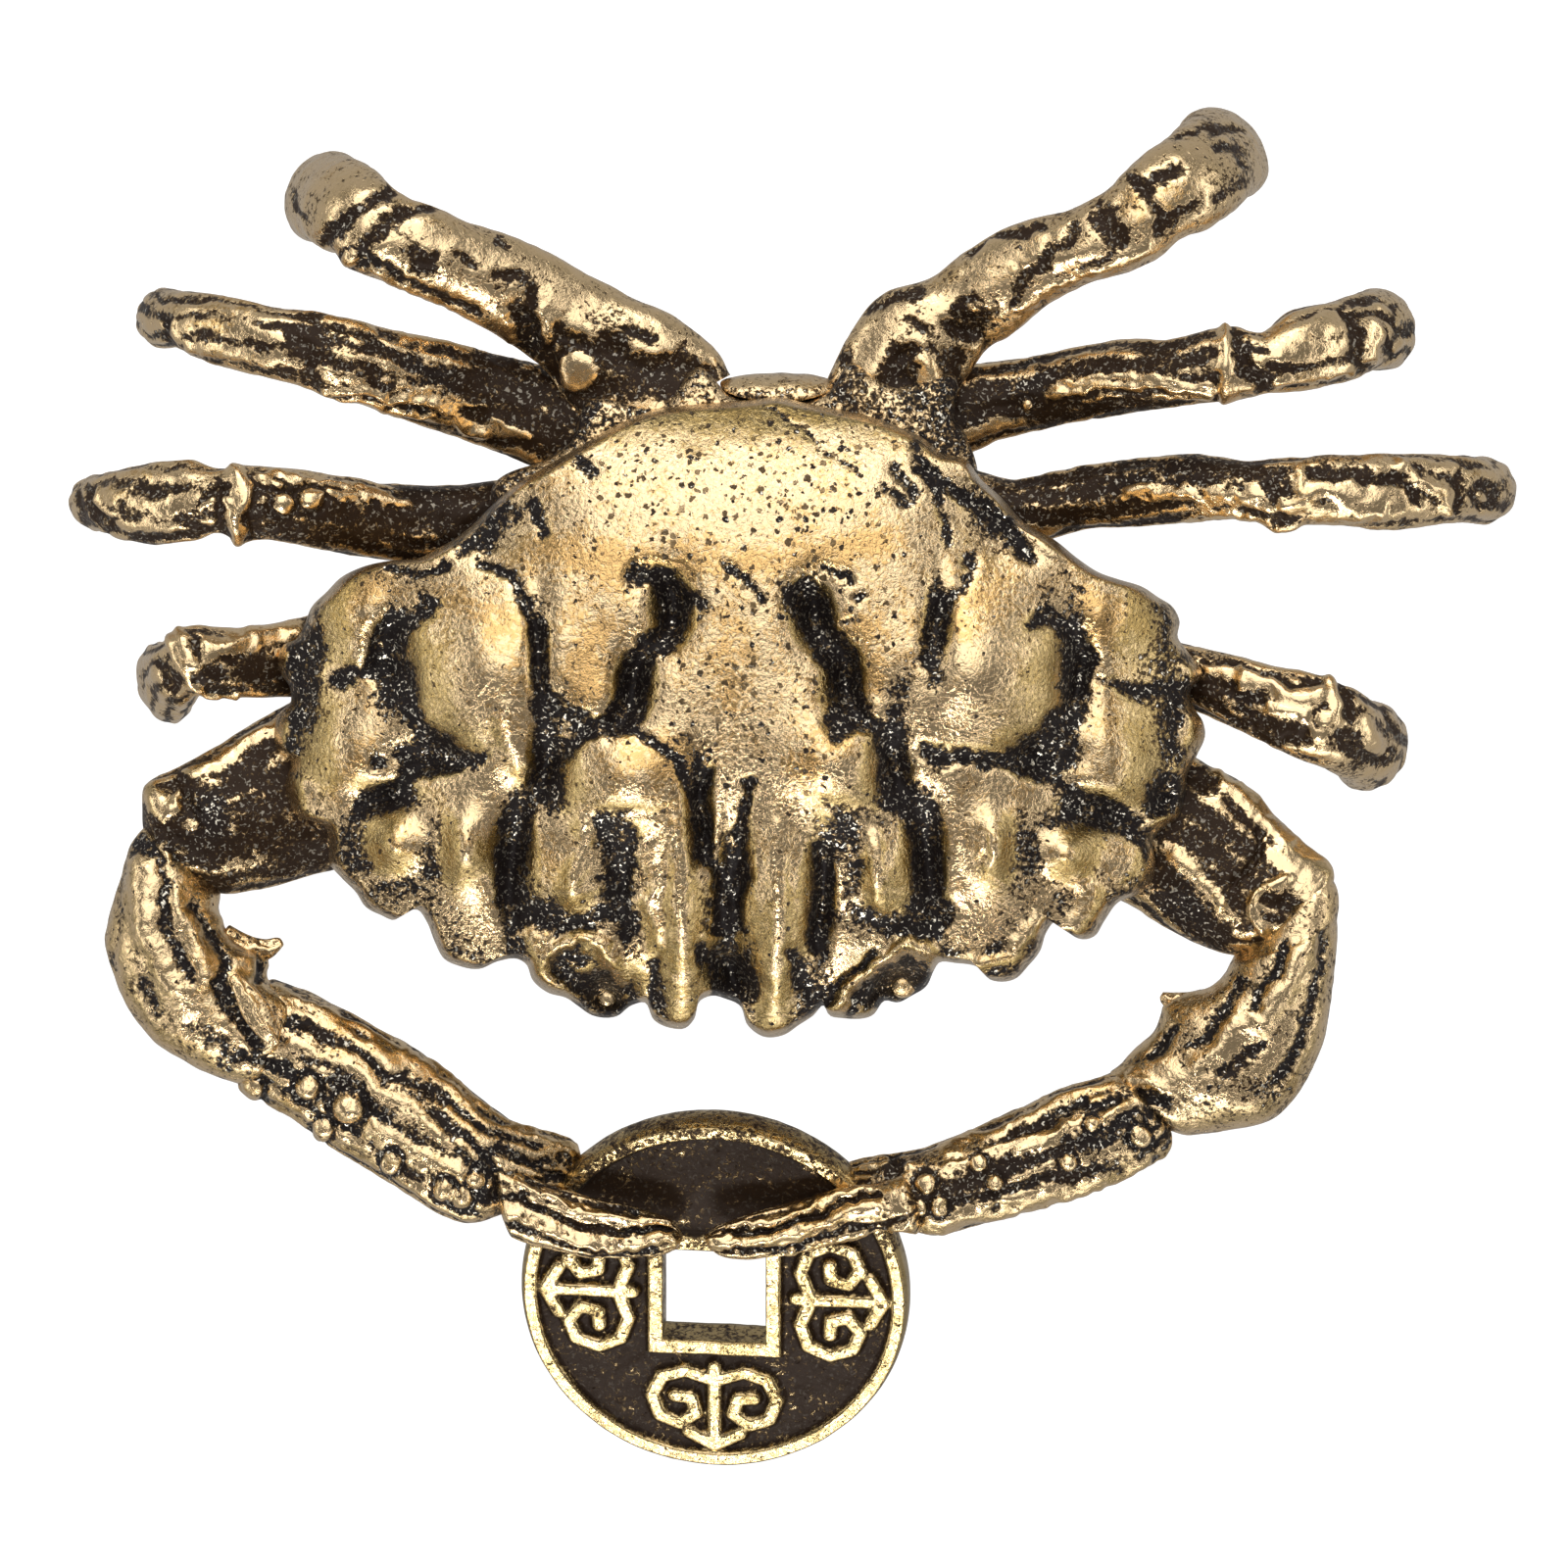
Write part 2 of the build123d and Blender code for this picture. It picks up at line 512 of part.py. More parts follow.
def make_claw(side, joints, bearings, facings, widths, tip, outward_turn):
    """The four pieces of one claw, which meet on the planes of its joints. The finger ends at tip."""
    arm_width, wrist_width, palm_width = widths
    heights = (ARM_ROOT_Z, ELBOW_Z, WRIST_END_Z, coin_middle_z(joints[3]))
    places = [at_height(joint, z) for joint, z in zip(joints, heights)]
    planes = [upright_plane(place, facing) for place, facing in zip(places, facings)]
    outward = [heading(bearing + outward_turn) for bearing in bearings]
    root = (planes[0], arm_width * ROOT_SHARE, ARM_DEPTH * ROOT_SHARE)
    elbow = (planes[1], arm_width * ELBOW_SHARES[0], ARM_DEPTH * ELBOW_SHARES[1])
    wrist_end = (planes[2], wrist_width * WRIST_END_SHARES[0], WRIST_DEPTH * WRIST_END_SHARES[1])
    palm_end = (planes[3], palm_width * PALM_END_SHARES[0], PALM_DEPTH * PALM_END_SHARES[1])
    arm_size = (arm_width, ARM_DEPTH)
    wrist_size = (wrist_width, WRIST_DEPTH)
    palm_size = (palm_width, PALM_DEPTH)

    with BuildPart() as arm:
        loft(segment_sections(root, elbow, ARM_SHARES, bearings[0], outward[0], arm_size))
        clear_carapace()
        cut_socket(planes[1])
        add_peg(planes[0])
    finish(arm, f"{side}_claw_arm")

    with BuildPart() as wrist:
        loft(segment_sections(elbow, wrist_end, WRIST_SHARES, bearings[1], outward[1], wrist_size))
        cut_socket(planes[2])
        add_peg(planes[1])
    finish(wrist, f"{side}_claw_wrist")

    lift = COIN_THICKNESS / 2 + FINGER_SEAT_SHARE * FINGER_DEPTH / 2
    finger_plane = upright_plane(places[3] + UP * lift, facings[3])
    fixed_tip = joints[3] + (tip - joints[3]) * FIXED_FINGER_SHARE

    with BuildPart() as palm:
        loft(segment_sections(wrist_end, palm_end, PALM_SHARES, bearings[2], outward[2], palm_size))
        loft(finger_sections(joints[3], fixed_tip, -lift, facings[3]))
        clear_coin()
        cut_socket(finger_plane)
        add_peg(planes[2])
    finish(palm, f"{side}_claw_palm")

    with BuildPart() as finger:
        loft(finger_sections(joints[3], tip, lift, facings[3]))
        clear_coin()
        add_peg(finger_plane)
    finish(finger, f"{side}_claw_finger")
    return planes[0]


left_widths = (LEFT_ARM_WIDTH, LEFT_WRIST_WIDTH, LEFT_PALM_WIDTH)
right_widths = (RIGHT_ARM_WIDTH, RIGHT_WRIST_WIDTH, RIGHT_PALM_WIDTH)
left_turns = (LEFT_CLAW_ANGLES, LEFT_JOINT_ANGLES)
right_turns = (RIGHT_CLAW_ANGLES, RIGHT_JOINT_ANGLES)
left_tip = tips_middle - half_tip_gap
right_tip = tips_middle + half_tip_gap
left_arm_plane = make_claw("left", left_joints, *left_turns, left_widths, left_tip, -90)
right_arm_plane = make_claw("right", right_joints, *right_turns, right_widths, right_tip, 90)


# Underbody
def facet(plane, width):
    """The two ends of the flat that a limb's root stands on, in the order that goes round the body."""
    half_side = plane.x_dir * width / 2
    return [plane.origin - half_side, plane.origin + half_side]


def belly_corners(spread):
    """The underbody's outline round all its facets, drawn in towards its middle by a share."""
    corners = []
    for name in ("left_leg_1", "left_leg_2", "left_leg_3", "left_leg_4"):
        corners += facet(leg_root_plane(name), leg_width(name) * MERUS_SHARES[0][-1])
    corners += facet(left_arm_plane, LEFT_ARM_WIDTH)
    corners += [on_body(*shares) for shares in BELLY_FRONT_SHARES]
    corners += facet(right_arm_plane, RIGHT_ARM_WIDTH)
    for name in ("right_leg_4", "right_leg_3", "right_leg_2", "right_leg_1"):
        corners += facet(leg_root_plane(name), leg_width(name) * MERUS_SHARES[0][-1])
    corners += facet(abdomen_plane, ABDOMEN_WIDTH)
    return [((corner.X - BODY_X) * spread, (corner.Y - BODY_Y) * spread) for corner in corners]


abdomen_plane = upright_plane(on_body(*ABDOMEN_ROOT_SHARES), 90)
band_plane = Plane(on_body(0, 0, UNDERBODY_BAND_Z))
bottom_plane = Plane(on_body(0, 0, UNDERBODY_BOTTOM_Z))

chest_outline = outline(band_plane, belly_corners(1))
belly_outline = outline(bottom_plane, belly_corners(BELLY_SHARE))

with BuildPart() as underbody:
    extrude(chest_outline, amount=UNDERBODY_REAR_Z - UNDERBODY_BAND_Z)
    clear_carapace()
    loft([chest_outline, belly_outline], ruled=True)
    extrude(disc(seam_plane, CARAPACE_BOSS_RADIUS), amount=CARAPACE_BOSS_HEIGHT)
    for leg_name in LEG_SHARES:
        cut_socket(leg_root_plane(leg_name))
    cut_socket(left_arm_plane)
    cut_socket(right_arm_plane)
finish(underbody, "underbody")


# Abdomen: its first ring stands behind the carapace, and the rest lies flat under the belly
rear_y = abdomen_plane.origin.Y
belly_rear_y = BODY_Y + (rear_y - BODY_Y) * BELLY_SHARE
abdomen_tip_y = rear_y - ABDOMEN_LENGTH
abdomen_low_z = UNDERBODY_BOTTOM_Z - ABDOMEN_THICKNESS
side_plane = Plane(Vector(abdomen_plane.origin.X, 0, 0), x_dir=(0, 1, 0), z_dir=(1, 0, 0))
abdomen_side = [
    (rear_y, UNDERBODY_REAR_Z),
    (rear_y, UNDERBODY_BAND_Z),
    (belly_rear_y, UNDERBODY_BOTTOM_Z),
    (abdomen_tip_y, UNDERBODY_BOTTOM_Z),
    (abdomen_tip_y, abdomen_low_z),
    (belly_rear_y, abdomen_low_z),
    (rear_y + ABDOMEN_THICKNESS, UNDERBODY_BAND_Z),
    (rear_y + ABDOMEN_THICKNESS, UNDERBODY_REAR_Z),
]
abdomen_top = [
    (-ABDOMEN_TIP_WIDTH / 2, -ABDOMEN_LENGTH),
    (ABDOMEN_TIP_WIDTH / 2, -ABDOMEN_LENGTH),
    (ABDOMEN_WIDTH / 2, 0),
    (ABDOMEN_WIDTH / 2, ABDOMEN_THICKNESS),
    (-ABDOMEN_WIDTH / 2, ABDOMEN_THICKNESS),
    (-ABDOMEN_WIDTH / 2, 0),
]
with BuildPart() as abdomen:
    extrude(outline(side_plane, abdomen_side), amount=ABDOMEN_WIDTH / 2, both=True)
    extrude(outline(Plane(abdomen_plane.origin), abdomen_top), amount=UNDERBODY_REAR_Z, mode=Mode.INTERSECT)
    add(underbody.part, mode=Mode.SUBTRACT)
finish(abdomen, "abdomen_flap")


# Coin
field_start = COIN_HOLE / 2 + COIN_HOLE_BORDER
field_depth = COIN_RADIUS - COIN_RIM_WIDTH - field_start
border_side = COIN_HOLE + 2 * COIN_HOLE_BORDER


def hook_line(quarter):
    """The squared hook that stands in one quarter of the coin's field, as points on its face."""
    points = []
    for across, outwards in HOOK_SHARES:
        place = Vector(across * field_depth, field_start + outwards * field_depth)
        points.append(place.rotate(Axis.Z, 90 * quarter))
    return points


def coin_field(plane):
    """The sunk field of one face: all of it but the rim, the hole's border and the hooks."""
    with BuildSketch(plane) as field:
        Circle(COIN_RADIUS - COIN_RIM_WIDTH)
        Rectangle(border_side, border_side, mode=Mode.SUBTRACT)
        for quarter in range(4):
            with BuildLine() as hook:
                Polyline(*hook_line(quarter))
            trace(hook.line, line_width=COIN_STROKE, mode=Mode.SUBTRACT)
    return field.sketch


with BuildPart() as coin:
    with BuildSketch(coin_plane.offset(-COIN_THICKNESS / 2)):
        Circle(COIN_RADIUS)
        Rectangle(COIN_HOLE, COIN_HOLE, mode=Mode.SUBTRACT)
    extrude(amount=COIN_THICKNESS)
    for face_side in (1, -1):
        face_plane = coin_plane.offset(face_side * COIN_THICKNESS / 2)
        extrude(coin_field(face_plane), amount=-face_side * COIN_RECESS, mode=Mode.SUBTRACT)
finish(coin, "coin")
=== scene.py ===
# %% [markdown]
# A cast brass crab that grips a cash coin
#
# The figure is a small lost-wax casting in antique brass: a toothed back shield, eight arched legs and two
# claws that pinch a tilted coin. The brass is rubbed bright on everything that stands up, and a near-black
# patina is left in every hollow and pit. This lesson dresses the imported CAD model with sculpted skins.

import bpy
import numpy as np
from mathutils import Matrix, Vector


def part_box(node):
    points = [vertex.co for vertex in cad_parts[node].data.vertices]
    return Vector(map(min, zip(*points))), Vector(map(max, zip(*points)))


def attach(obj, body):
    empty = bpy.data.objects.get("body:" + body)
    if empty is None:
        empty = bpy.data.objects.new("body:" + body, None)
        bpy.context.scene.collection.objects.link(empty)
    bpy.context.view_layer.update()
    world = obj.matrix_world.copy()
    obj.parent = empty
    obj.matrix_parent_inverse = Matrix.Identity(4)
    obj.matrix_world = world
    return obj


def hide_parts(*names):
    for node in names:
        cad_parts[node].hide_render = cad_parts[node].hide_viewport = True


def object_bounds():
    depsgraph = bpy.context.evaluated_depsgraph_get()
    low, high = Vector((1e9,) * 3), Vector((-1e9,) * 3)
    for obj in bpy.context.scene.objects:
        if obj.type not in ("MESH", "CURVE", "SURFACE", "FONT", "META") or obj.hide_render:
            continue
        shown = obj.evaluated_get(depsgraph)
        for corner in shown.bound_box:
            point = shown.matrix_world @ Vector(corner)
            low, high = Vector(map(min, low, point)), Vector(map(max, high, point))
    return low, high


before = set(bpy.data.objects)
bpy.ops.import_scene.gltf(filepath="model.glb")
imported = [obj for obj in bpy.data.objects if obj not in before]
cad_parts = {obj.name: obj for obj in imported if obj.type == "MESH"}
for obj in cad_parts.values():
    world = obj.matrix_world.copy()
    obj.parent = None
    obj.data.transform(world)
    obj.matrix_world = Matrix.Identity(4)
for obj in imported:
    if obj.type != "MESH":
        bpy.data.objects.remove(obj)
cad_low, cad_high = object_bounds()
print("CAD box", [round(v, 5) for v in (*cad_low, *cad_high)])

# %% [markdown]
# Shapes were read from the straight-down photograph, so tables of places hold its pixels: x to the right
# and y down. One pixel's real size follows from the CAD box, which spans as many pixels as the crab does.
# All sculpting is done in pixels too, with y turned up and z counted from the table, and only the last step
# turns it to metres. That keeps every number in a table as small and readable as it is on the picture.

# %% Pixels and metres
PHOTO_SIDE = 1600
PHOTO_MIDDLE = (808.5, 805.0)
CRAB_SPAN = 1463.7
PIXEL = (cad_high.x - cad_low.x) / CRAB_SPAN
MIDDLE_X = (cad_low.x + cad_high.x) / 2
MIDDLE_Y = (cad_low.y + cad_high.y) / 2


def metres(points):
    """Turns sculpting pixels (x, y up, z up) into metres: (p - middle) * PIXEL."""
    out = np.array(points, float)
    out[..., 0] = (out[..., 0] - PHOTO_MIDDLE[0]) * PIXEL + MIDDLE_X
    out[..., 1] = (out[..., 1] + PHOTO_MIDDLE[1]) * PIXEL + MIDDLE_Y
    out[..., 2] = out[..., 2] * PIXEL + cad_low.z
    return out


def node_heights(node):
    """Lowest and highest point of a CAD node, in pixels above the table."""
    low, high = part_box(node)
    return (low.z - cad_low.z) / PIXEL, (high.z - cad_low.z) / PIXEL


print("one pixel is", round(PIXEL * 1000, 5), "mm")

# %% [markdown]
# A real casting is never smooth: the wax was worked by hand, and the mould's skin leaves small dents.
# Value noise gives both: random numbers on a cube of lattice points, blended smoothly in between. It is
# worked out for all vertices at once, and its random numbers come from one fixed seed.

# %% Hand-made roughness
NOISE_SIDE = 24
NOISE_SEED = 7
LATTICE = np.random.default_rng(NOISE_SEED).random((NOISE_SIDE,) * 3) * 2 - 1


def lumps(points, size):
    """Smooth random values from -1 to 1: lattice values blended by 3t^2 - 2t^3 along each axis."""
    place = np.asarray(points) / size
    cell = np.floor(place).astype(int)
    t = place - cell
    t = t * t * (3 - 2 * t)
    total = 0.0
    for corner in np.ndindex(2, 2, 2):
        weight = np.prod(np.where(corner, t, 1 - t), axis=-1)
        index = (cell + corner) % NOISE_SIDE
        total = total + weight * LATTICE[index[..., 0], index[..., 1], index[..., 2]]
    return total


def smoothstep(value, low, high):
    """0 below low, 1 above high, and 3t^2 - 2t^3 between them."""
    t = np.clip((value - low) / (high - low), 0, 1)
    return t * t * (3 - 2 * t)


print("noise values", LATTICE.size, "from", round(LATTICE.min(), 3), "to", round(LATTICE.max(), 3))

# %% [markdown]
# Every ridge, groove and dark patch of the casting is a stroke: a line on the picture with a half width, a
# rise and a darkness. Its effect fades with the distance d from the line as exp(-(d / width)^2), like clay
# pressed with a round tool. A bead is a small dome with a dark ring where the patina has settled round it.

# %% Strokes and beads
CORE_SHARE, SKIRT_SHARE = 0.65, 0.4
CORE_REACH, SKIRT_REACH, SKIRT_MARGIN = 1.25, 2.2, 5
SHAKE = 6.0
SHAKE_SIZE, TREMBLE_SIZE = 28.0, 8.0
RING_AT, RING_WIDTH = 1.15, 0.25
RING_DEPTH, DOME_CLEAN = 0.3, 1.3


def distance_to(x, y, line):
    """Distance from each (x, y) to a chain of straight runs, the least over all runs."""
    line = np.array(line, float).reshape(-1, 2)
    if len(line) == 1:
        return np.hypot(x - line[0, 0], y - line[0, 1])
    best = np.full(np.shape(x), np.inf)
    for (x0, y0), (x1, y1) in zip(line[:-1], line[1:]):
        run_x, run_y = x1 - x0, y1 - y0
        share = ((x - x0) * run_x + (y - y0) * run_y) / (run_x**2 + run_y**2)
        share = np.clip(share, 0, 1)
        best = np.minimum(best, np.hypot(x - x0 - share * run_x, y - y0 - share * run_y))
    return best


def press(x, y, strokes):
    """Sum of rises times exp(-(d / width)^2), and of darknesses times a core and a skirt.

    The core is exp(-(d / 1.25 width)^4), and the wider, weaker skirt is exp(-(d / (2.2 width + 5))^2). The
    place is first shaken by two sizes of noise, as no hand cuts an even line. The numbers added to level only
    pick other stretches of the same noise.
    """
    level = np.stack([x, y, np.zeros(np.shape(x))], -1)
    x = x + SHAKE * lumps(level, SHAKE_SIZE) + SHAKE / 2 * lumps(level + 40, TREMBLE_SIZE)
    y = y + SHAKE * lumps(level + 80, SHAKE_SIZE) + SHAKE / 2 * lumps(level + 120, TREMBLE_SIZE)
    rise, dark = np.zeros(np.shape(x)), np.zeros(np.shape(x))
    for line, width, stroke_rise, stroke_dark in strokes:
        d = distance_to(x, y, line)
        rise += stroke_rise * np.exp(-((d / width) ** 2))
        core = np.exp(-((d / (CORE_REACH * width)) ** 4))
        skirt = np.exp(-((d / (SKIRT_REACH * width + SKIRT_MARGIN)) ** 2))
        dark += stroke_dark * (CORE_SHARE * core + SKIRT_SHARE * skirt)
    return rise, dark


def set_beads(x, y, spots):
    """Domes rise * sqrt(1 - (d / r)^2), each in a dark groove exp(-((d - 1.15 r) / 0.25 r)^2)."""
    rise, dark = np.zeros(np.shape(x)), np.zeros(np.shape(x))
    for spot_x, spot_y, radius, spot_rise in spots:
        d = np.hypot(x - spot_x, y - spot_y) / radius
        dome = np.sqrt(np.clip(1 - d**2, 0, 1))
        ring = np.exp(-(((d - RING_AT) / RING_WIDTH) ** 2))
        rise += spot_rise * (dome - RING_DEPTH * ring)
        dark += ring - DOME_CLEAN * dome
    return rise, dark


def hollows(height, reach_rows, reach_columns):
    """How far each point lies under its surroundings: Gaussian blur of the height, minus the height."""
    rows = np.fft.fftfreq(height.shape[0])[:, None] * reach_rows
    columns = np.fft.rfftfreq(height.shape[1]) * reach_columns
    spread = np.exp(-2 * np.pi**2 * (rows**2 + columns**2))
    return np.fft.irfft2(np.fft.rfft2(height) * spread, height.shape) - height


probe = press(np.array([0.0, 10.0, 20.0]), np.zeros(3), [([(0, 0)], 10, 1.0, 1.0)])
print("rise and darkness of a stroke 10 px wide, at 0, 10 and 20 px:", *(values.round(2) for values in probe))

# %% [markdown]
# A skin is a grid of points that closes round a limb. Rows of quads join it up, and a single point closes
# each end, so the mesh is watertight. The grid's own direction makes the faces point outwards. How dark the
# patina is at each point goes into the mesh as an attribute, which the finish reads later.

# %% From a grid of points to a closed mesh
CLEANEST, DARKEST = -0.12, 1.05
WARM_PATCH, PIT_PATCH = 70.0, 55.0
# Minus the upward part of a face's normal: where painted shade on slopes begins and is full, and where it
# halves
SLOPE_SHADE_TILTS, STEEP_TILTS = (-0.92, -0.70), (-0.6, -0.4)


def pitted(points, level=0.45, spread=0.3):
    """How pitted each point is: level + spread times lumps in broad patches."""
    return level + spread * lumps(points, PIT_PATCH)


def skin(name, points, dark, warm=None, pits=None, slope_shade_share=0.35, turned=False, ring=False):
    """Mesh from points[row, column]: columns wrap, and rows wrap too for a ring, or end in a fan to a pole.

    Four attributes go with it. patina is dark, cut off at both ends. warmth and pits are as given, or else
    follow lumps. The fourth is painted shade: full on a slope, half on a steep one, 0 on what is nearly
    level.
    """
    rows, columns = points.shape[:2]
    index = np.arange(rows * columns).reshape(rows, columns)
    if ring:
        index = np.vstack([index, index[:1]])
    after = np.roll(index, -1, axis=1)
    faces = np.stack([index[:-1], after[:-1], after[1:], index[1:]], -1).reshape(-1, 4)
    faces = (faces[:, ::-1] if turned else faces).tolist()
    places = points.reshape(-1, 3)
    if not ring:
        first, last = rows * columns, rows * columns + 1
        fans = np.stack([np.full(columns, first), after[0], index[0]], -1)
        fans = np.vstack([fans, np.stack([np.full(columns, last), index[-1], after[-1]], -1)])
        faces += (fans[:, ::-1] if turned else fans).tolist()
        places = np.concatenate([places, [points[0].mean(0), points[-1].mean(0)]])
    mesh = bpy.data.meshes.new(name)
    mesh.from_pydata(metres(places).tolist(), [], faces)
    mesh.polygons.foreach_set("use_smooth", np.ones(len(faces), bool))
    mesh.update()
    normals = np.empty(3 * len(mesh.vertices), np.float32)
    mesh.vertices.foreach_get("normal", normals)
    upright = np.clip(normals[2::3], 0, 1)
    # Painted shade: a face that tilts from level is marked for a darker, greener gold, half as much where
    # steep
    slope_shade = slope_shade_share * smoothstep(-upright, *SLOPE_SHADE_TILTS) * (1 - 0.5 * smoothstep(-upright, *STEEP_TILTS))
    looks = {"patina": np.clip(dark, CLEANEST, DARKEST)}
    looks["warmth"] = lumps(points, WARM_PATCH) * 0.7 - 0.1 if warm is None else warm
    looks["pits"] = pitted(points) if pits is None else pits
    if not ring:
        looks = {
            title: np.concatenate([values.reshape(-1), [values[0].mean(), values[-1].mean()]])
            for title, values in looks.items()
        }
    looks["slope_shade"] = slope_shade
    for title, values in looks.items():
        attribute = mesh.attributes.new(title, "FLOAT", "POINT")
        attribute.data.foreach_set("value", values.reshape(-1).astype(np.float32))
    mesh.update()
    piece = bpy.data.objects.new(name, mesh)
    bpy.context.scene.collection.objects.link(piece)
    return piece


pieces = []


def dress(piece, node):
    """The piece stands for a CAD node, whose part it hides, and moves with the only body."""
    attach(piece, "root")
    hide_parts(node)
    pieces.append((node, piece))
    print(piece.name, len(piece.data.polygons), "faces")


# %% [markdown]
# A limb is a tube through stations. Each station holds the tube's centre, the level direction across it,
# and its half width and half height. Between stations a cubic keeps the limb smooth. The section is an
# ellipse that stands square to the limb, so the same rule carries a leg out, over its knee and down.

# %% Tubes through stations
NARROWEST = 0.0004


def smooth_rows(knots, rows, at):
    """Cubic through the rows, with slopes taken from each row's neighbours (Hermite's four curves)."""
    knots, rows = np.asarray(knots, float), np.asarray(rows, float)
    slopes = np.gradient(rows, knots, axis=0)
    i = np.clip(np.searchsorted(knots, at, side="right") - 1, 0, len(knots) - 2)
    span = (knots[i + 1] - knots[i])[:, None]
    t = ((at - knots[i]) / (knots[i + 1] - knots[i]))[:, None]
    start = (2 * t**3 - 3 * t**2 + 1) * rows[i] + (t**3 - 2 * t**2 + t) * span * slopes[i]
    return start + (3 * t**2 - 2 * t**3) * rows[i + 1] + (t**3 - t**2) * span * slopes[i + 1]


def unit(vectors):
    """Vectors divided by their lengths."""
    return vectors / np.maximum(np.linalg.norm(vectors, axis=-1, keepdims=True), 1e-9)


def tube(stations, along, around, round_start=0.0, round_end=0.0):
    """centre(s) + side(s) a(s) cos t + up(s) b(s) sin t, with a and b drawn in to an end as a half ellipse.

    stations: rows of centre x, y, z, side x, side y, half width a, half height b. round_start and round_end
    are the shares of the length that the rounded ends take. Returns points, outward directions, the place s
    along the tube from 0 to 1 and the turn t. A rounded end never closes quite: NARROWEST is the square of
    the least girth.
    """
    stations = np.asarray(stations, float)
    steps = np.linalg.norm(np.diff(stations[:, :3], axis=0), axis=1)
    knots = np.concatenate([[0], np.cumsum(steps)])
    length = knots[-1]
    s = np.linspace(0, 1, along)
    if round_end:
        eased = 1 - round_end + round_end * np.sin((s - 1 + round_end) / round_end * np.pi / 2)
        s = np.where(s > 1 - round_end, eased, s)
    rows = smooth_rows(knots, stations, s * length)
    centre = rows[:, :3]
    side = unit(np.concatenate([rows[:, 3:5], np.zeros((along, 1))], 1))
    ahead = smooth_rows(knots, stations, np.clip(s * length + 0.5, 0, length))[:, :3]
    behind = smooth_rows(knots, stations, np.clip(s * length - 0.5, 0, length))[:, :3]
    heading = unit(ahead - behind)
    up = unit(np.cross(heading, side))
    girth = np.ones(along)
    for into_end, end_share in ((s - 1 + round_end, round_end), (round_start - s, round_start)):
        if end_share:
            girth *= np.sqrt(np.clip(1 - np.clip(into_end / end_share, 0, 1) ** 2, NARROWEST, 1))
    turn = np.linspace(0, 2 * np.pi, around, endpoint=False)
    a, b = (rows[:, 5] * girth)[:, None], (rows[:, 6] * girth)[:, None]
    across, rise = np.cos(turn)[None, :, None], np.sin(turn)[None, :, None]
    points = centre[:, None] + side[:, None] * a[..., None] * across + up[:, None] * b[..., None] * rise
    outward = unit(side[:, None] * b[..., None] * across + up[:, None] * a[..., None] * rise)
    s, turn = np.broadcast_to(s[:, None], points.shape[:2]), np.broadcast_to(turn, points.shape[:2])
    return points, outward, s, turn


def pair_rows(pairs, heights, half_heights):
    """Stations from pairs of edge points (ax, ay, bx, by): the centre halfway, the side along the pair."""
    pairs = np.array(pairs, float)
    a, b = pairs[:, :2] * (1, -1), pairs[:, 2:] * (1, -1)
    centre, half = (a + b) / 2, np.linalg.norm(a - b, axis=1) / 2
    side = unit(a - b)
    run = np.gradient(centre, axis=0)
    left_of_run = np.stack([-run[:, 1], run[:, 0]], -1)
    side *= np.sign((side * left_of_run).sum(1))[:, None]
    return np.column_stack([centre, heights, side, half, half_heights])


# Patina that the fine hollows hold, and patina with painted shade that the broad ones hold
FINE_HOLLOW, BROAD_PATINA_AND_SHADE = 0.22, 0.07
UNDER_DARK = 0.35
STRIAE_LIGHT = 0.4
# The upward part of the outward direction, where marks begin and are full, and how far down the dark begins
SEEN_TILTS, UNDER_TILTS = (-0.05, 0.3), (-0.25, 0.5)


def sculpt(tube_parts, strokes, spots, base_dark, grain, striae=0.0, lines=9):
    """Moves a tube's points outwards, and says how dark each point is.

    shift = (strokes + beads) * seen + striae * sin(lines * turn + 3 bend) + grain * lumps, where seen is 1 on
    top and 0 underneath, and bend is noise that makes the striae waver. Darkness = that of the strokes and
    beads, less STRIAE_LIGHT on each stria's crest, plus what the hollows of the shift hold, plus UNDER_DARK
    underneath. The fine hollows hold patina, and the broad ones hold patina and painted shade.
    """
    points, outward, _, turn = tube_parts
    x, y = points[..., 0], -points[..., 1]
    rise, dark = press(x, y, strokes)
    bead_rise, bead_dark = set_beads(x, y, spots)
    seen = smoothstep(outward[..., 2], *SEEN_TILTS)
    waves = 0.0
    if striae:
        bend = lumps(points, 60.0) * 1.3 + lumps(points, 17.0) * 0.5
        waves = np.sin(turn * lines + bend * 3) * smoothstep(lumps(points + 300, 40.0), -0.5, 0.2)
    rough = lumps(points, 26.0) * grain * 1.2 + lumps(points + 100, 9.0) * grain * 0.6
    shift = (rise + bead_rise) * seen + striae * waves + rough
    dark = (dark + bead_dark) * seen - STRIAE_LIGHT * waves * (striae > 0) + base_dark
    # Patina in the fine hollows, and patina with painted shade in the broad ones
    dark = dark + FINE_HOLLOW * hollows(shift, 3, 3) + BROAD_PATINA_AND_SHADE * hollows(shift, 9, 6)
    dark = dark + UNDER_DARK * smoothstep(-outward[..., 2], *UNDER_TILTS)
    return points + outward * shift[..., None], dark


probe = tube([(0, 0, 0, 0, 1, 5, 5), (100, 0, 0, 0, 1, 5, 5)], 3, 4)[0]
print("a straight tube 100 px long and 10 px thick spans", np.ptp(probe.reshape(-1, 3), axis=0).round(1))

# %% [markdown]
# The walking legs arch up from the chest, turn over at the knee and come down to small flat feet. The top
# edge and the bottom edge of each leg are pairs of points on the photograph. Heights come from the CAD leg:
# the upper part climbs to the knee, and the lower part falls along a quarter ellipse, as its solid does.

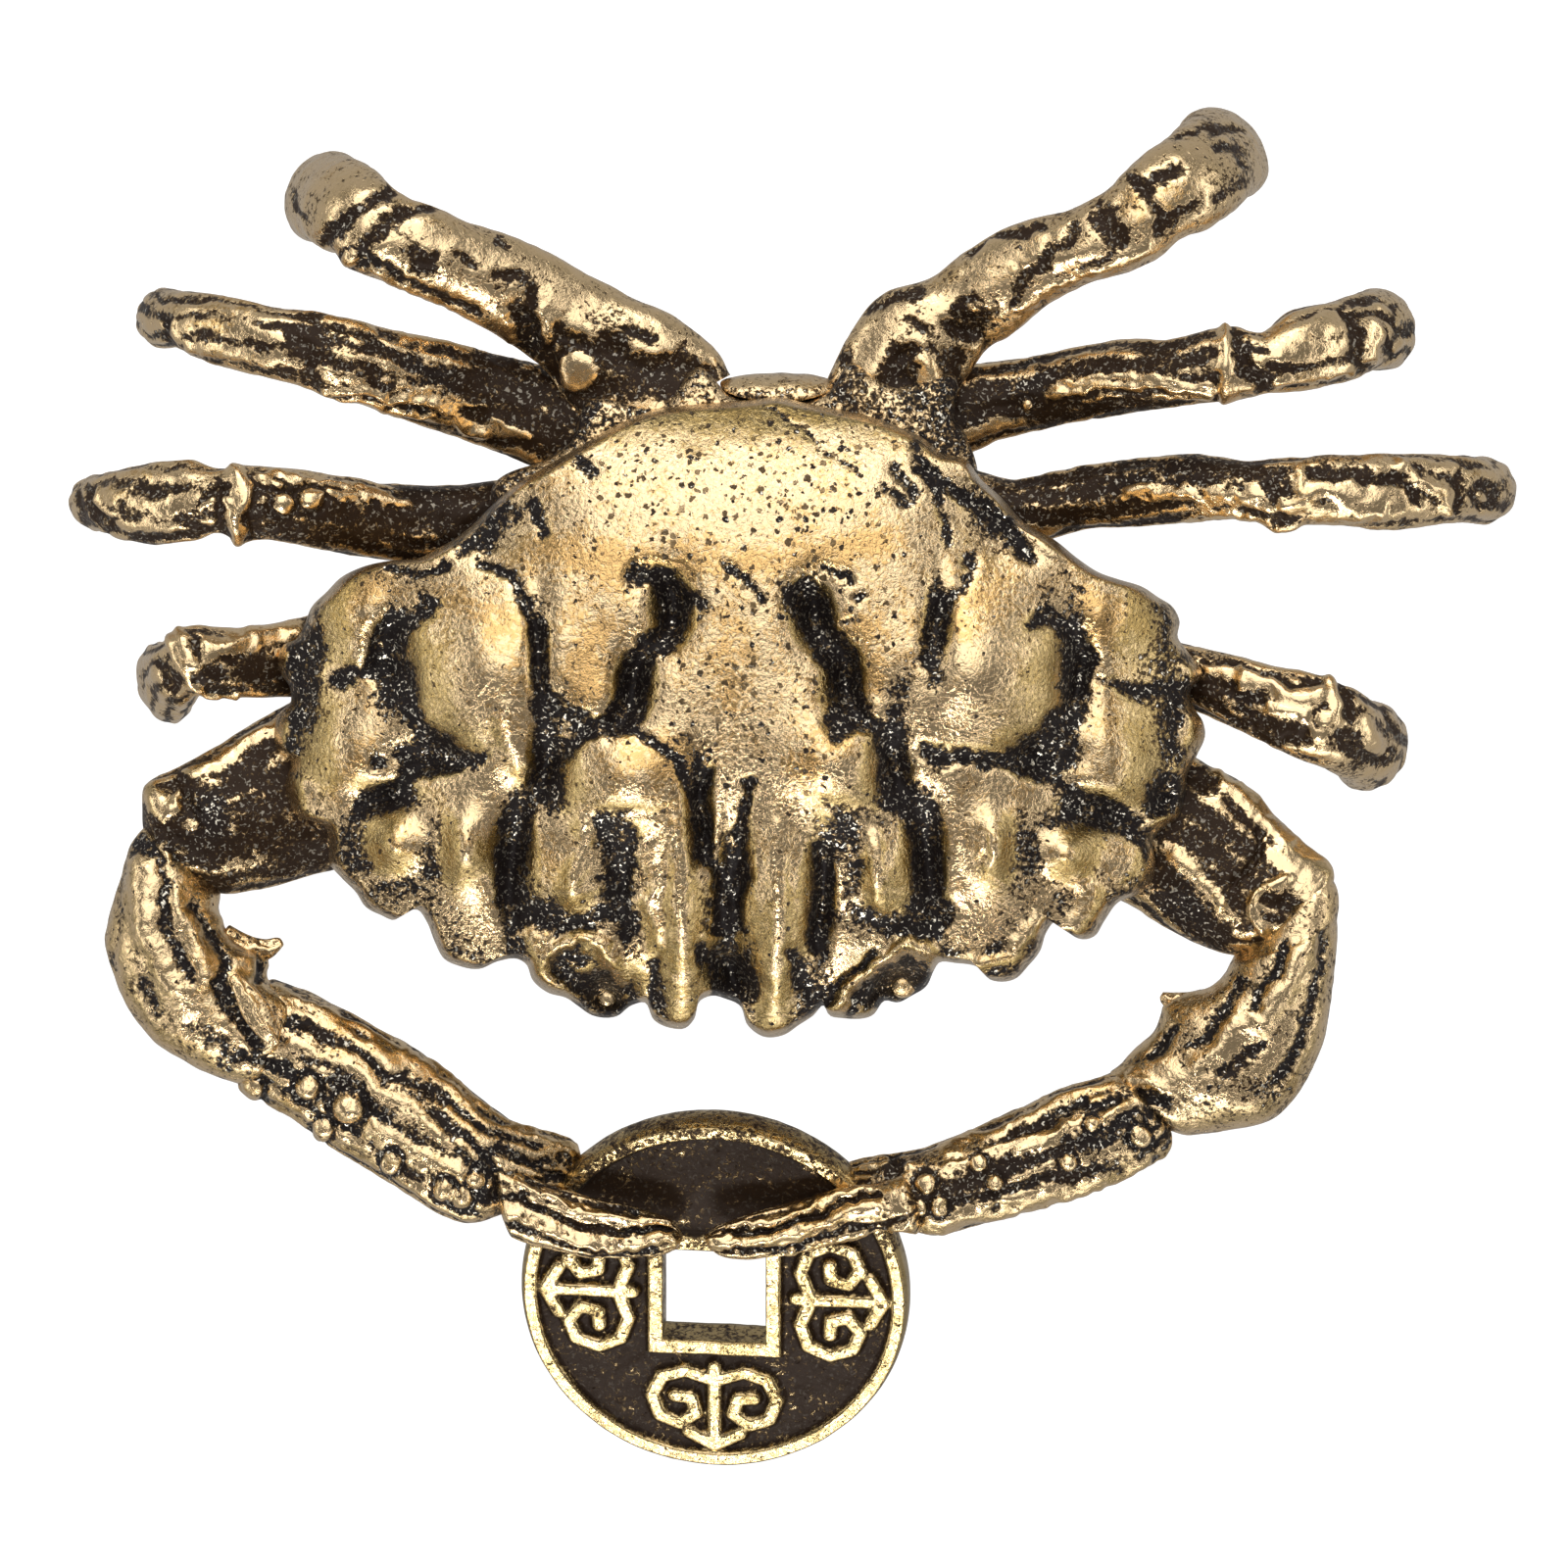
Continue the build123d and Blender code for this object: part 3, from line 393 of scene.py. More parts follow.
# %% Walking legs
MERUS_WAY_SHARES = [0.0, 0.2, 0.4, 0.62, 0.8, 0.94, 1.0]
MERUS_RISE_SHARES = [0.0, 0.02, 0.07, 0.42, 0.80, 0.98, 1.0]
KNEE_SHARE = 0.86
ANKLE_SHARE = 0.25
HALF_DEPTH_SHARE = 0.135
FOOT_SHARES = [(0.55, 0.72), (0.25, 0.5), (0.0, 0.4)]
ROOT_SHARES = {"1": 0.70, "2": 0.65, "3": 0.60, "4": 0.66}
# Pairs of edge points (ax, ay, bx, by) from the root to the knee, those beyond it, and the tip's half depth
LEG_PAIRS = {
    "left_leg_1": (
        [(746, 384, 620, 450), (724, 352, 580, 412), (690, 326, 556, 378), (640, 303, 528, 357),
         (590, 276, 485, 331), (540, 251, 442, 309), (480, 230, 398, 291), (446, 214, 364, 279),
         (418, 205, 352, 272)],
        [(400, 192, 346, 262), (384, 176, 330, 256), (368, 167, 320, 249), (349, 166, 312, 238)], 34),
    "left_leg_2": (
        [(640, 420, 590, 500), (598, 392, 560, 484), (562, 378, 520, 468), (520, 366, 480, 452),
         (460, 352, 420, 432), (400, 338, 372, 415), (353, 327, 334, 407), (326, 321, 318, 400)],
        [(283, 316, 280, 388), (248, 308, 240, 379), (215, 301, 208, 369), (186, 298, 184, 357),
         (170, 298, 164, 353)], 26),
    "left_leg_3": (
        [(560, 494, 540, 580), (520, 492, 500, 572), (470, 495, 450, 573), (411, 496, 400, 573),
         (347, 487, 345, 565), (300, 480, 300, 556), (264, 477, 262, 552), (248, 476, 246, 554)],
        [(226, 480, 226, 545), (200, 471, 198, 552), (165, 473, 160, 557), (135, 479, 132, 552),
         (112, 484, 110, 543), (103, 487, 101, 539)], 29),
    "left_leg_4": (
        [(400, 605, 395, 708), (350, 618, 345, 712), (312, 629, 305, 712), (260, 640, 258, 712),
         (222, 641, 222, 711), (197, 640, 205, 709)],
        [(182, 650, 196, 716), (170, 656, 188, 726), (160, 662, 178, 732)], 24),
    "right_leg_1": (
        [(838, 402, 950, 440), (848, 378, 968, 418), (868, 340, 990, 380), (900, 303, 1008, 357),
         (945, 287, 1030, 345), (985, 258, 1062, 318), (1040, 230, 1110, 291), (1090, 217, 1150, 280),
         (1128, 197, 1182, 265), (1145, 180, 1200, 248)],
        [(1162, 163, 1228, 237), (1186, 146, 1254, 220), (1203, 130, 1272, 203), (1220, 122, 1280, 190)],
        34),
    "right_leg_2": (
        [(930, 385, 950, 480), (975, 374, 985, 466), (1010, 371, 1020, 450), (1060, 364, 1070, 437),
         (1142, 349, 1150, 424), (1200, 347, 1205, 416), (1235, 338, 1238, 412), (1262, 336, 1262, 410)],
        [(1283, 342, 1288, 404), (1315, 320, 1325, 401), (1350, 311, 1362, 393), (1380, 302, 1395, 380),
         (1400, 300, 1416, 374)], 34),
    "right_leg_3": (
        [(960, 470, 1000, 570), (1000, 482, 1040, 562), (1035, 491, 1070, 551), (1072, 482, 1100, 542),
         (1150, 470, 1155, 538), (1219, 465, 1222, 534), (1262, 471, 1270, 532), (1300, 470, 1306, 541),
         (1324, 468, 1326, 537)],
        [(1360, 466, 1362, 537), (1400, 465, 1405, 543), (1440, 465, 1442, 539), (1475, 466, 1478, 534),
         (1500, 467, 1502, 534), (1512, 469, 1513, 533)], 33),
    "right_leg_4": (
        [(1080, 600, 1060, 680), (1130, 625, 1110, 695), (1180, 648, 1165, 710), (1215, 659, 1208, 723),
         (1260, 669, 1245, 737), (1300, 680, 1285, 757), (1345, 690, 1330, 778)],
        [(1364, 697, 1348, 784), (1390, 712, 1372, 796), (1410, 726, 1386, 799)], 33),
}


def leg_rows(name):
    """Stations of a leg: height root + rise (knee - root) out to the knee, then a quarter ellipse down.

    The last three stations go straight down from the ankle, narrowing by FOOT_SHARES.
    """
    merus, shank, tip_reach = LEG_PAIRS[name]
    low, high = node_heights(name)
    tall = high - low
    root, knee = tall * ROOT_SHARES[name[-1]], tall * KNEE_SHARE
    ankle, depth = knee * ANKLE_SHARE, tall * HALF_DEPTH_SHARE
    flat = np.array(merus + shank, float)
    centres = (flat[:, :2] + flat[:, 2:]) / 2
    way = np.concatenate([[0], np.cumsum(np.linalg.norm(np.diff(centres, axis=0), axis=1))])
    knee_at = way[len(merus) - 1]
    climb = np.interp(way[: len(merus)] / knee_at, MERUS_WAY_SHARES, MERUS_RISE_SHARES)
    reach = (way[len(merus):] - knee_at) / (way[-1] - knee_at)
    fall = np.sqrt(np.clip(1 - reach**2, 0, 1))
    heights = np.concatenate([root + climb * (knee - root), ankle + fall * (knee - ankle)])
    depths = np.concatenate([np.full(len(merus), depth), depth + (tip_reach - depth) * reach])
    rows = pair_rows(flat, heights, depths)
    x, y, _, side_x, side_y, half, deep = rows[-1]
    foot = [(x, y, ankle * rise, side_x, side_y, half * girth, deep * girth) for rise, girth in FOOT_SHARES]
    return np.vstack([rows, foot])


print("stations of each leg", {leg: len(leg_rows(leg)) for leg in LEG_PAIRS})

# %% [markdown]
# No two legs are marked alike, so the ridges, grooves and beads of each are read from the picture one by one.
# A stroke's row holds its line, half width, rise and darkness, and a darkness below 0 means rubbed bright. A
# bead's row holds its place, radius and rise. All legs but the first pair also show fine lines, the striae.

# %% Marks on the legs
LEG_STROKES = {
    "left_leg_1": [
        ([(402, 198), (385, 207), (365, 224), (350, 240), (338, 254)], 6, -6, 0.9),
        ([(446, 216), (425, 221), (404, 229)], 5, -5, 1.0),
        ([(404, 229), (392, 246), (374, 256), (368, 272)], 7, -3, 0.7),
        ([(375, 266), (410, 280), (450, 300), (490, 322)], 4, -4, 0.5),
        ([(385, 278), (420, 296), (460, 317)], 4, 3, -0.2), ([(424, 262), (446, 264)], 4, -3, 0.8),
        ([(428, 271), (444, 274)], 4, -3, 0.8), ([(470, 260), (482, 269)], 4, -3, 0.8),
        ([(512, 248), (524, 252)], 4, -2, 0.7), ([(505, 280), (536, 286)], 5, -3, 0.8),
        ([(533, 326), (537, 350)], 13, -14, 1.2), ([(515, 325), (522, 350)], 7, 4, -0.3),
        ([(552, 322), (556, 350)], 7, 4, -0.2), ([(545, 300), (550, 312)], 5, -3, 0.8),
        ([(574, 348), (598, 354)], 8, -6, 1.0),
        ([(628, 356), (642, 370), (668, 380), (700, 372), (724, 382)], 12, -8, 1.1),
        ([(560, 362), (566, 388), (572, 415)], 7, -7, 1.0),
        ([(600, 400), (640, 395), (690, 392)], 14, -3, 0.8), ([(640, 338), (668, 345)], 5, -3, 0.6),
        ([(303, 192), (305, 208), (313, 226)], 3, -3, 0.8),
    ],
    "left_leg_2": [
        ([(330, 350), (420, 378), (545, 405)], 26, -2, 0.85), ([(520, 400), (600, 440)], 36, 0, 0.9),
        ([(335, 399), (380, 402), (420, 411), (460, 427), (500, 449)], 4, 5, -0.9),
        ([(345, 409), (400, 418), (436, 430)], 3, 3, -0.5),
        ([(340, 405), (400, 412), (440, 422)], 2.5, -3, 0.6),
        ([(340, 328), (420, 344), (500, 360), (550, 376)], 6, 3, -0.6),
        ([(345, 345), (440, 366), (540, 388)], 2.5, 2, -0.35),
        ([(345, 362), (430, 384), (520, 408)], 2.5, 2, -0.35),
        ([(330, 375), (420, 396), (500, 420)], 2.5, 2, -0.35),
        ([(170, 326), (172, 341), (180, 352), (190, 359)], 3.5, -5, 1.1),
        ([(180, 326), (184, 342), (196, 357)], 3, 3, -0.4), ([(141, 322), (147, 314)], 3, -2, 0.8),
        ([(160, 301), (185, 306), (212, 307)], 2.5, -2, 0.5),
        ([(306, 345), (322, 368), (322, 396)], 9, -4, 0.6),
        ([(205, 345), (260, 358), (300, 372)], 10, -2, 0.12), ([(508, 432), (540, 444)], 3, 3, -0.9),
    ],
    "left_leg_3": [
        ([(275, 534), (340, 537), (490, 536)], 22, -2, 0.95), ([(420, 506), (520, 502)], 14, 0, 0.95),
        ([(265, 486), (300, 490), (350, 497), (405, 502)], 3, 3, -0.7),
        ([(270, 496), (310, 499), (350, 503)], 3, -3, 0.6),
        ([(330, 507), (380, 508), (420, 513)], 5, 4, -0.6),
        ([(246, 482), (250, 510), (246, 549)], 10, 7, -0.7),
        ([(263, 484), (259, 515), (263, 546)], 4, -5, 1.0),
        ([(233, 498), (229, 520), (236, 546)], 5, -5, 0.8),
        ([(232, 502), (214, 509), (204, 519)], 3, -4, 0.9), ([(194, 534), (216, 541)], 4, -4, 1.0),
        ([(200, 521), (220, 514), (236, 516)], 3, 3, -0.3), ([(138, 502), (164, 502)], 14, -4, 0.3),
        ([(100, 500), (97, 515), (105, 530), (116, 541)], 4, -5, 1.1),
        ([(84, 506), (87, 520), (94, 534)], 3, -3, 0.8), ([(140, 552), (170, 556), (200, 546)], 5, -3, 0.7),
        ([(108, 500), (106, 516), (114, 530)], 3, 3, -0.4),
    ],
    "left_leg_4": [
        ([(212, 661), (250, 655), (300, 645)], 9, 5, -0.8), ([(225, 683), (300, 678)], 12, -2, 0.85),
        ([(205, 700), (290, 700)], 6, -1, 0.5), ([(203, 655), (203, 676)], 5, -6, 1.1),
        ([(188, 652), (192, 668), (200, 680)], 8, 6, -0.5),
        ([(180, 658), (182, 672), (190, 690), (205, 706), (240, 711)], 3, 5, -0.7),
        ([(172, 684), (178, 700)], 8, -6, 0.9), ([(320, 640), (340, 690)], 14, 0, 0.8),
    ],
    "right_leg_1": [
        ([(1125, 225), (1140, 247)], 11, -5, 1.0),
        ([(1150, 188), (1163, 195), (1172, 212), (1181, 237)], 5, -6, 1.1),
        ([(1168, 195), (1181, 187), (1196, 175)], 4, -4, 0.9), ([(1190, 226), (1216, 214)], 6, -2, 0.6),
        ([(985, 262), (1010, 248), (1040, 242), (1066, 237)], 3.5, -4, 0.9),
        ([(1030, 306), (1040, 288), (1065, 270), (1085, 255), (1097, 238)], 5, -4, 0.9),
        ([(1040, 312), (1080, 287), (1130, 271), (1172, 255)], 6, 4, -0.2),
        ([(1080, 282), (1130, 265)], 3, -2, 0.4), ([(980, 336), (1006, 338)], 12, -13, 1.2),
        ([(975, 318), (992, 312)], 3, -2, 0.7), ([(1015, 330), (1012, 350)], 6, 3, -0.2),
        ([(944, 366), (948, 390)], 12, 8, -0.9), ([(950, 398), (952, 432)], 6, 5, -0.6),
        ([(922, 366), (950, 358)], 5, -5, 1.0), ([(924, 388), (934, 420), (940, 445)], 9, -5, 1.0),
        ([(966, 372), (975, 415), (990, 440)], 13, -4, 1.0), ([(862, 362), (864, 386)], 5, -4, 0.9),
        ([(850, 402), (880, 404), (905, 394), (920, 372)], 12, -5, 1.0),
        ([(896, 410), (908, 426)], 9, 2, -0.6), ([(872, 322), (905, 312), (940, 300)], 5, -2, 0.6),
        ([(1200, 143), (1230, 133), (1265, 136)], 3, -4, 0.8),
        ([(1245, 150), (1265, 160), (1270, 176)], 5, -3, 0.7), ([(1262, 190), (1240, 207)], 6, -2, 0.4),
        ([(930, 330), (945, 342)], 4, -2, 0.7),
    ],
    "right_leg_2": [
        ([(1000, 405), (1060, 392), (1230, 368)], 22, -1, 0.75),
        ([(960, 420), (1100, 418), (1200, 410)], 12, -2, 0.9),
        ([(1080, 401), (1110, 399), (1150, 397), (1236, 398)], 4.5, 5, -1.3),
        ([(1085, 390), (1140, 388), (1236, 391)], 2.5, 3, -0.6),
        ([(1090, 410), (1150, 409), (1236, 407)], 2.5, 2, -0.5),
        ([(1252, 340), (1250, 370), (1250, 405)], 11, 6, -1.1), ([(1239, 385), (1240, 410)], 3, -5, 1.1),
        ([(1263, 345), (1265, 370), (1275, 385), (1290, 391)], 7, -7, 1.1),
        ([(1298, 368), (1316, 378)], 6, -3, 0.7), ([(1370, 324), (1384, 345), (1385, 366)], 6, -6, 1.1),
        ([(1362, 319), (1400, 322), (1432, 340)], 3, -4, 0.7), ([(1410, 340), (1416, 366)], 3, -4, 0.8),
        ([(1392, 330), (1404, 345), (1402, 366)], 4, 4, -0.4), ([(1375, 308), (1420, 312)], 3, -2, 0.5),
        ([(1310, 345), (1350, 335)], 14, 4, -0.2), ([(1290, 395), (1340, 390), (1380, 378)], 4, 3, -0.2),
    ],
    "right_leg_3": [
        ([(980, 520), (1150, 515), (1290, 500)], 22, -1, 0.75),
        ([(1060, 492), (1140, 482), (1280, 479)], 9, -1, 0.6), ([(1145, 505), (1176, 499)], 5, 5, -1.2),
        ([(1181, 507), (1200, 503)], 5, 5, -1.2), ([(1205, 499), (1226, 509)], 5, 5, -1.2),
        ([(1236, 504), (1286, 508)], 6, 4, -1.0), ([(1300, 516), (1332, 508)], 6, 4, -0.9),
        ([(1215, 526), (1260, 523), (1300, 536)], 3, 3, -0.8), ([(1322, 474), (1326, 500)], 3, 4, -0.9),
        ([(1375, 520), (1405, 523)], 8, 5, -0.9), ([(1335, 502), (1440, 513)], 11, 2, -0.5),
        ([(1335, 487), (1370, 488), (1430, 491)], 7, -4, 0.8),
        ([(1425, 472), (1445, 490), (1468, 500), (1476, 525)], 5, 6, -0.5),
        ([(1440, 500), (1446, 516)], 6, -5, 0.9),
        ([(1505, 495), (1520, 498), (1522, 515), (1512, 523)], 3.5, -5, 0.9),
        ([(1499, 504), (1510, 521)], 4, -3, 0.6), ([(1300, 536), (1316, 536)], 8, 5, 0.2),
        ([(1486, 478), (1484, 525)], 3.5, -4, 0.6), ([(1300, 500), (1302, 530)], 4, -4, 0.7),
    ],
    "right_leg_4": [
        ([(1236, 676), (1266, 685)], 7, 4, -0.6), ([(1270, 691), (1300, 704), (1342, 716)], 7, 5, -0.8),
        ([(1290, 721), (1330, 729)], 5, 4, -0.7),
        ([(1225, 702), (1260, 707), (1300, 737), (1330, 752)], 9, -3, 0.8),
        ([(1230, 672), (1290, 688), (1340, 700)], 3, -4, 0.8),
        ([(1220, 718), (1280, 743), (1330, 762)], 4, -3, 0.7),
        ([(1352, 700), (1363, 722), (1350, 756)], 9, 6, -0.8), ([(1369, 705), (1377, 727)], 7, -5, 1.0),
        ([(1360, 754), (1376, 766)], 9, -5, 1.0), ([(1374, 760), (1396, 778), (1420, 768)], 3, -4, 0.9),
        ([(1406, 726), (1426, 750), (1432, 762)], 4, -2, 0.8), ([(1140, 640), (1200, 690)], 20, 0, 0.7),
        ([(1388, 735), (1402, 760)], 9, 3, -0.3),
    ],
}
LEG_BEADS = {
    "left_leg_1": [(360, 267, 9, 5), (590, 382, 22, 5)],
    "left_leg_3": [(292, 516, 12, 7), (320, 510, 13, 8)],
    "right_leg_2": [(1047, 415, 7, 5)],
    "right_leg_4": [(1348, 733, 9, 3)],
}
LEG_BASE_DARK = {
    "left_leg_1": 0.02, "left_leg_2": 0.12, "left_leg_3": 0.12, "left_leg_4": 0.15,
    "right_leg_1": 0.05, "right_leg_2": 0.12, "right_leg_3": 0.22, "right_leg_4": 0.2,
}
LEG_ALONG, LEG_AROUND = 260, 88
LEG_TIP_SHARE = 0.02
LEG_PITS, LEG_PITS_SPREAD = 0.15, 0.25
LEG_STRIAE = 0.8
LIMB_GRAIN = 0.9

for leg in LEG_PAIRS:
    striae = 0.0 if leg.endswith("1") else LEG_STRIAE
    body = tube(leg_rows(leg), LEG_ALONG, LEG_AROUND, round_end=LEG_TIP_SHARE)
    spots = LEG_BEADS.get(leg, [])
    shape, dark = sculpt(body, LEG_STROKES[leg], spots, LEG_BASE_DARK[leg], LIMB_GRAIN, striae)
    shape[..., 2] = np.maximum(shape[..., 2], 0)
    dress(skin(leg + "_skin", shape, dark, pits=pitted(shape, LEG_PITS, LEG_PITS_SPREAD)), leg)

# %% [markdown]
# The two claw arms bend at an elbow and a wrist. Each of their pieces was modelled in wax as a fat roll and
# marked with ridges, so they use the same tubes as the legs. The palms end in a finger that goes under the
# coin, and a second finger lies on top of it.

# %% Claws
CLAW_PAIRS = {
    "left_claw_arm": [
        (430, 690, 470, 845), (360, 695, 410, 870), (297, 717, 340, 887), (258, 740, 300, 898),
        (213, 767, 262, 908),
        (180, 785, 226, 911), (157, 796, 190, 903), (141, 815, 158, 888)],
    "left_claw_wrist": [
        (158, 836, 210, 878), (137, 860, 225, 906), (124, 900, 226, 928), (112, 938, 236, 952),
        (110, 965, 256, 966), (118, 992, 272, 972), (134, 1030, 276, 984), (160, 1062, 274, 992),
        (196, 1085, 276, 1000),
        (240, 1103, 290, 1010), (272, 1112, 312, 1022)],
    "left_claw_palm": [
        (264, 994, 232, 1092), (288, 1001, 250, 1108), (318, 1012, 280, 1128), (345, 1025, 308, 1147),
        (382, 1046, 345, 1172), (420, 1066, 378, 1192), (460, 1095, 420, 1218), (494, 1121, 455, 1238),
        (520, 1140, 482, 1246), (545, 1149, 512, 1238), (572, 1157, 545, 1232), (600, 1166, 580, 1236)],
    "left_claw_finger": [
        (500, 1176, 516, 1258), (530, 1192, 540, 1267), (560, 1206, 566, 1274), (600, 1219, 604, 1281),
        (640, 1228, 643, 1282), (674, 1238, 675, 1279), (697, 1250, 697, 1269)],
    "right_claw_arm": [
        (1075, 740, 1030, 880), (1140, 745, 1085, 895), (1190, 752, 1120, 908), (1222, 775, 1146, 920),
        (1265, 798, 1184, 943), (1300, 832, 1228, 966), (1332, 862, 1262, 974), (1356, 884, 1300, 966),
        (1364, 904, 1330, 955)],
    "right_claw_wrist": [
        (1340, 875, 1290, 930), (1362, 905, 1272, 955), (1363, 940, 1258, 975), (1360, 985, 1248, 992),
        (1356, 1025, 1234, 1006), (1346, 1068, 1212, 1012), (1326, 1110, 1188, 1024),
        (1296, 1141, 1176, 1052), (1264, 1150, 1158, 1068),
        (1226, 1156, 1140, 1086), (1192, 1160, 1120, 1098)],
    "right_claw_palm": [
        (1144, 1090, 1208, 1160), (1122, 1097, 1172, 1186), (1092, 1106, 1130, 1207),
        (1060, 1120, 1090, 1221), (1010, 1143, 1035, 1237), (975, 1158, 990, 1250), (945, 1170, 950, 1258),
        (918, 1176, 918, 1250),
        (885, 1180, 880, 1240), (850, 1188, 842, 1238)],
    "right_claw_finger": [
        (930, 1194, 944, 1259), (891, 1206, 902, 1254), (858, 1211, 868, 1261), (828, 1219, 838, 1268),
        (795, 1228, 803, 1277), (762, 1237, 768, 1283), (737, 1247, 742, 1281), (719, 1256, 724, 1275)],
}
CLAW_RISE_SHARES = {
    "left_claw_arm": [0.45, 0.42, 0.42, 0.45, 0.5, 0.55, 0.56, 0.55],
    "left_claw_wrist": [0.62, 0.55, 0.5, 0.49, 0.48, 0.47, 0.46, 0.46, 0.47, 0.5, 0.5],
    "left_claw_palm": [0.46, 0.47, 0.5, 0.52, 0.54, 0.56, 0.58, 0.6, 0.6, 0.55, 0.45, 0.4],
    "left_claw_finger": [0.42, 0.42, 0.42, 0.42, 0.4, 0.38, 0.36],
    "right_claw_arm": [0.45, 0.42, 0.42, 0.45, 0.48, 0.5, 0.54, 0.56, 0.55],
    "right_claw_wrist": [0.62, 0.55, 0.5, 0.49, 0.48, 0.47, 0.46, 0.46, 0.46, 0.48, 0.48],
    "right_claw_palm": [0.44, 0.46, 0.48, 0.5, 0.52, 0.54, 0.56, 0.54, 0.46, 0.4],
    "right_claw_finger": [0.5, 0.42, 0.38, 0.34, 0.32, 0.3, 0.3, 0.28],
}
CLAW_DEPTH_SHARES = {
    "left_claw_arm": [0.36, 0.38, 0.4, 0.4, 0.4, 0.38, 0.34, 0.28],
    "left_claw_wrist": [0.3, 0.38, 0.44, 0.46, 0.46, 0.46, 0.45, 0.44, 0.42, 0.36, 0.3],
    "left_claw_palm": [0.34, 0.38, 0.4, 0.4, 0.4, 0.4, 0.38, 0.36, 0.32, 0.24, 0.2, 0.16],
    "left_claw_finger": [0.42, 0.4, 0.38, 0.35, 0.33, 0.3, 0.26],
    "right_claw_arm": [0.36, 0.38, 0.4, 0.4, 0.4, 0.4, 0.38, 0.34, 0.28],
    "right_claw_wrist": [0.3, 0.38, 0.44, 0.46, 0.46, 0.46, 0.45, 0.44, 0.42, 0.36, 0.3],
    "right_claw_palm": [0.34, 0.38, 0.4, 0.4, 0.38, 0.36, 0.34, 0.28, 0.2, 0.16],
    "right_claw_finger": [0.34, 0.26, 0.24, 0.23, 0.22, 0.21, 0.2, 0.17],
}
CLAW_ALONG, CLAW_AROUND = 250, 110
CLAW_START_SHARE, CLAW_END_SHARE = 0.05, 0.06


def claw_tube(name):
    """The tube of one claw piece: its heights and half depths are shares of the height of its CAD node."""
    low, high = node_heights(name)
    tall = high - low
    heights = low + tall * np.array(CLAW_RISE_SHARES[name])
    rows = pair_rows(CLAW_PAIRS[name], heights, tall * np.array(CLAW_DEPTH_SHARES[name]))
    return tube(rows, CLAW_ALONG, CLAW_AROUND, CLAW_START_SHARE, CLAW_END_SHARE)


print("stations of each claw piece", {name: len(pairs) for name, pairs in CLAW_PAIRS.items()})

# %% [markdown]
# The claws carry the richest marks: thick ridges along the wrists, rows of beads and fine striae on the
# palms, and a long bright ridge beside a dark groove on each finger. The arms are smooth and brown at the
# root, so they have few pits, and the wrists are pitted most.

